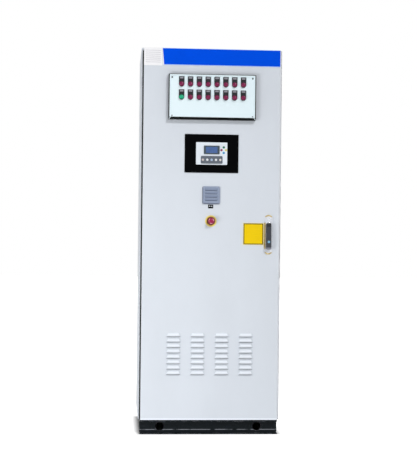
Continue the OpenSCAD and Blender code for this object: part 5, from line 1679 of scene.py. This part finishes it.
class CHARGER_OT_control(bpy.types.Operator):
    """Finishes the breakers, ducts, terminals and control board"""

    bl_idname = "charger.control"
    bl_label = "Control gear"
    ways, way_pitch, way_reach = 26, 0.012, 0.014
    pillar, board_thick = 0.012, 0.0016
    chip_columns, chip_rows, chip_step_x, chip_step_z = 6, 2, 0.03, 0.025

    def execute(self, context):
        case = moulded("Phenolic, moulded charcoal", linear("#2D2F34"), 0.42)
        refined("switchgear_cases", [case], 1.2)
        grip = moulded("Polyamide toggle, moulded grey", linear("#D8D9DB"), 0.35)
        for node in ("input_toggle", "output_toggle"):
            refined(node, [grip], 0.6)
        painted(moulded("PVC duct, extruded grey", linear("#9CA1A8"), 0.5, 3.0), "wiring_ducts")
        self.terminals()
        self.board()
        return {"FINISHED"}

    def terminals(self):
        """The beige terminals on their rail, with a screw at each end of each."""
        low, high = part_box("terminal_strip")
        rail = high.y - 0.0076
        beige = moulded("Polyamide terminal, moulded beige", linear("#C9BFA6"), 0.4)
        refined("terminal_strip", [zinc(), beige], 0.3, lambda p: int(p.y < rail))
        middle, height = (low.x + high.x) / 2, (low.z + high.z) / 2
        across = [middle + (i - (self.ways - 1) / 2) * self.way_pitch for i in range(self.ways)]
        reach = self.way_reach
        places = [((x, low.y, height + z), FRONT) for x in across for z in (-reach, reach)]
        screws("terminal_screws", places, steel(), 0.003, "cabinet", "hub_steel")

    def board(self):
        """The board on its pillars, with relays and small parts."""
        low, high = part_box("control_board")
        back = high.y - self.pillar
        face = back - self.board_thick
        relay = moulded("Polyester relay case, moulded orange", linear("#B8502A"), 0.35)

        def layer(place):
            return 0 if place.y > back + BED else (1 if place.y > face - BED else 2)

        refined("control_board", [steel(), circuit_board(), relay], 0.2, layer)
        chip = slab(box_outline(-0.007, 0.007, -0.004, 0.004), 0.0, -0.003, 0.3)
        black = moulded("Epoxy chip, moulded black", linear("#1D1E21"), 0.4)
        left, foot = low.x + 0.02, low.z + 0.03
        places = [
            (left + i * self.chip_step_x, face, foot + j * self.chip_step_z)
            for i in range(self.chip_columns)
            for j in range(self.chip_rows)
        ]
        bank("board_chips", chip, places, black, "cabinet", "moulded_black")


class CHARGER_OT_stage(bpy.types.Operator):
    """Sets the floor, the light and the camera"""

    bl_idname = "charger.stage"
    bl_label = "Stage"
    # The floor's left, front, right and rear limits.
    field = (-20, -12, 20, 28)
    # Where each lamp stands, and the place that it points at.
    sun_place, sun_target, sun_spread = (3.8, -7.5, 6.8), (0.0, -0.3, 1.0), math.radians(10)
    fill_place, fill_target, fill_size = (-2.3, -2.6, 0.4), (-0.2, -0.3, 0.5), 1.5

    def execute(self, context):
        stage = context.scene.charger_stage
        self.floor()
        self.light(stage)
        self.camera(stage)
        context.scene.view_settings.view_transform = "Standard"
        return {"FINISHED"}

    def floor(self):
        """A pale floor that shows the shadow and otherwise meets the white background."""
        left, front, right, rear = self.field
        corners = [(left, front, 0), (right, front, 0), (right, rear, 0), (left, rear, 0)]
        mesh = bpy.data.meshes.new("floor")
        mesh.from_pydata(corners, [], [(0, 1, 2, 3)])
        material = bpy.data.materials.new("Studio floor, painted")
        material.use_nodes = True
        tree = material.node_tree
        tree.nodes.clear()
        matt = add(tree, "ShaderNodeBsdfDiffuse", {"Color": linear("#E6E6E6")})
        strength = {0: seen_strength(tree, 0.0, 1.0), 1: self.clear_of_cabinet(tree)}
        white = add(tree, "ShaderNodeMath", strength, operation="MULTIPLY")
        light = {"Color": (1, 1, 1, 1), "Strength": white.outputs[0]}
        glow = add(tree, "ShaderNodeEmission", light)
        mixed = add(tree, "ShaderNodeAddShader", {0: matt.outputs[0], 1: glow.outputs[0]})
        add(tree, "ShaderNodeOutputMaterial", {0: mixed.outputs[0]})
        mesh.materials.append(material)
        made = bpy.data.objects.new("floor", mesh)
        bpy.context.scene.collection.objects.link(made)

    def clear_of_cabinet(self, tree):
        """How far a place on the floor is from the cabinet: 0 under it, 1 well away."""
        place = add(tree, "ShaderNodeTexCoord").outputs["Object"]
        split = add(tree, "ShaderNodeSeparateXYZ", {0: place})
        gaps = []
        for axis in (X, Y):
            away = add(tree, "ShaderNodeMath", {0: split.outputs[axis]}, operation="ABSOLUTE")
            reach = {0: away.outputs[0], 1: CAD_BOX[1][axis]}
            gaps.append(add(tree, "ShaderNodeMath", reach, operation="SUBTRACT").outputs[0])
        gap = add(tree, "ShaderNodeMath", {0: gaps[0], 1: gaps[1]}, operation="MAXIMUM").outputs[0]
        limits = {"Value": gap, "From Min": -0.01, "From Max": 0.03}
        return add(tree, "ShaderNodeMapRange", limits).outputs[0]

    def light(self, stage):
        """Even light all round, a soft sun from the upper right, a low fill at the left."""
        world = bpy.data.worlds.new("Room")
        bpy.context.scene.world = world
        world.use_nodes = True
        tree = world.node_tree
        tree.nodes.clear()
        strength = seen_strength(tree, stage.sky, 1.0)
        sky = add(tree, "ShaderNodeBackground", {"Color": (1, 1, 1, 1), "Strength": strength})
        add(tree, "ShaderNodeOutputWorld", {0: sky.outputs[0]})
        sun = bpy.data.lights.new("Key", "SUN")
        sun.angle = self.sun_spread
        sun.energy = stage.key_power
        self.hang(sun, self.sun_place, self.sun_target)
        fill = bpy.data.lights.new("Fill", "AREA")
        fill.shape = "DISK"
        fill.size = self.fill_size
        fill.energy = stage.fill_power
        self.hang(fill, self.fill_place, self.fill_target)

    def hang(self, lamp, place, target):
        """Puts a lamp at a place and points it at another."""
        made = bpy.data.objects.new(lamp.name, lamp)
        bpy.context.scene.collection.objects.link(made)
        made.location = place
        made.rotation_euler = (Vector(target) - made.location).to_track_quat("-Z", "Y").to_euler()
        made.visible_camera = False

    def camera(self, stage):
        """The camera where the photograph was taken from."""
        data = bpy.data.cameras.new("Camera")
        data.lens = stage.camera_lens
        data.clip_end = 100
        camera = bpy.data.objects.new("Camera", data)
        bpy.context.scene.collection.objects.link(camera)
        pitch, roll, yaw = stage.camera_turn
        level = math.cos(pitch)
        ahead = Vector((math.sin(yaw) * level, math.cos(yaw) * level, math.sin(pitch)))
        side = Vector((math.cos(yaw), -math.sin(yaw), 0))
        above = side.cross(ahead)
        across = math.cos(roll) * side + math.sin(roll) * above
        upward = math.cos(roll) * above - math.sin(roll) * side
        turn = Matrix((across, upward, -ahead)).transposed().to_4x4()
        camera.matrix_world = Matrix.Translation(stage.camera_place) @ turn
        bpy.context.scene.camera = camera


def seen_strength(tree, plain_value, seen_value):
    """A strength that differs for rays that come from the camera, a mirror or glass."""
    path = add(tree, "ShaderNodeLightPath")
    seen = path.outputs["Is Camera Ray"]
    for name in ("Is Glossy Ray", "Is Transmission Ray"):
        either = {0: seen, 1: path.outputs[name]}
        seen = add(tree, "ShaderNodeMath", either, operation="MAXIMUM").outputs[0]
    strengths = {"Value": seen, "To Min": plain_value, "To Max": seen_value}
    return add(tree, "ShaderNodeMapRange", strengths).outputs[0]


OPERATORS = (
    CHARGER_OT_plinth,
    CHARGER_OT_cabinet,
    CHARGER_OT_door,
    CHARGER_OT_films,
    CHARGER_OT_indicators,
    CHARGER_OT_controller,
    CHARGER_OT_sounder,
    CHARGER_OT_stop,
    CHARGER_OT_handle,
    CHARGER_OT_power,
    CHARGER_OT_control,
    CHARGER_OT_stage,
)


class CHARGER_PT_panel(bpy.types.Panel):
    """Lists the charger's finishes and stage"""

    bl_idname = "CHARGER_PT_panel"
    bl_label = "Battery charger"
    bl_space_type = "VIEW_3D"
    bl_region_type = "UI"
    bl_category = "Charger"

    def draw(self, context):
        layout = self.layout
        for name in GROUPS:
            group = getattr(context.scene, name)
            column = layout.column()
            for label in group.__annotations__:
                column.prop(group, label)
        for operator in OPERATORS:
            layout.operator(operator.bl_idname)


GROUPS = {
    "charger_colours": ChargerColours,
    "charger_sizes": ChargerSizes,
    "charger_stage": ChargerStage,
}


def register():
    """Registers the groups, the operators and the panel."""
    for group in GROUPS.values():
        bpy.utils.register_class(group)
    for operator in OPERATORS:
        bpy.utils.register_class(operator)
    bpy.utils.register_class(CHARGER_PT_panel)
    for name, group in GROUPS.items():
        setattr(bpy.types.Scene, name, PointerProperty(type=group))


def unregister():
    """Takes them all away again."""
    for name in GROUPS:
        delattr(bpy.types.Scene, name)
    bpy.utils.unregister_class(CHARGER_PT_panel)
    for operator in reversed(OPERATORS):
        bpy.utils.unregister_class(operator)
    for group in reversed(GROUPS.values()):
        bpy.utils.unregister_class(group)


def main():
    """Builds every piece and the stage."""
    register()
    fastener_tree()
    bank_tree()
    for operator in OPERATORS:
        family, name = operator.bl_idname.split(".")
        getattr(getattr(bpy.ops, family), name)()


if __name__ == "__main__":
    main()
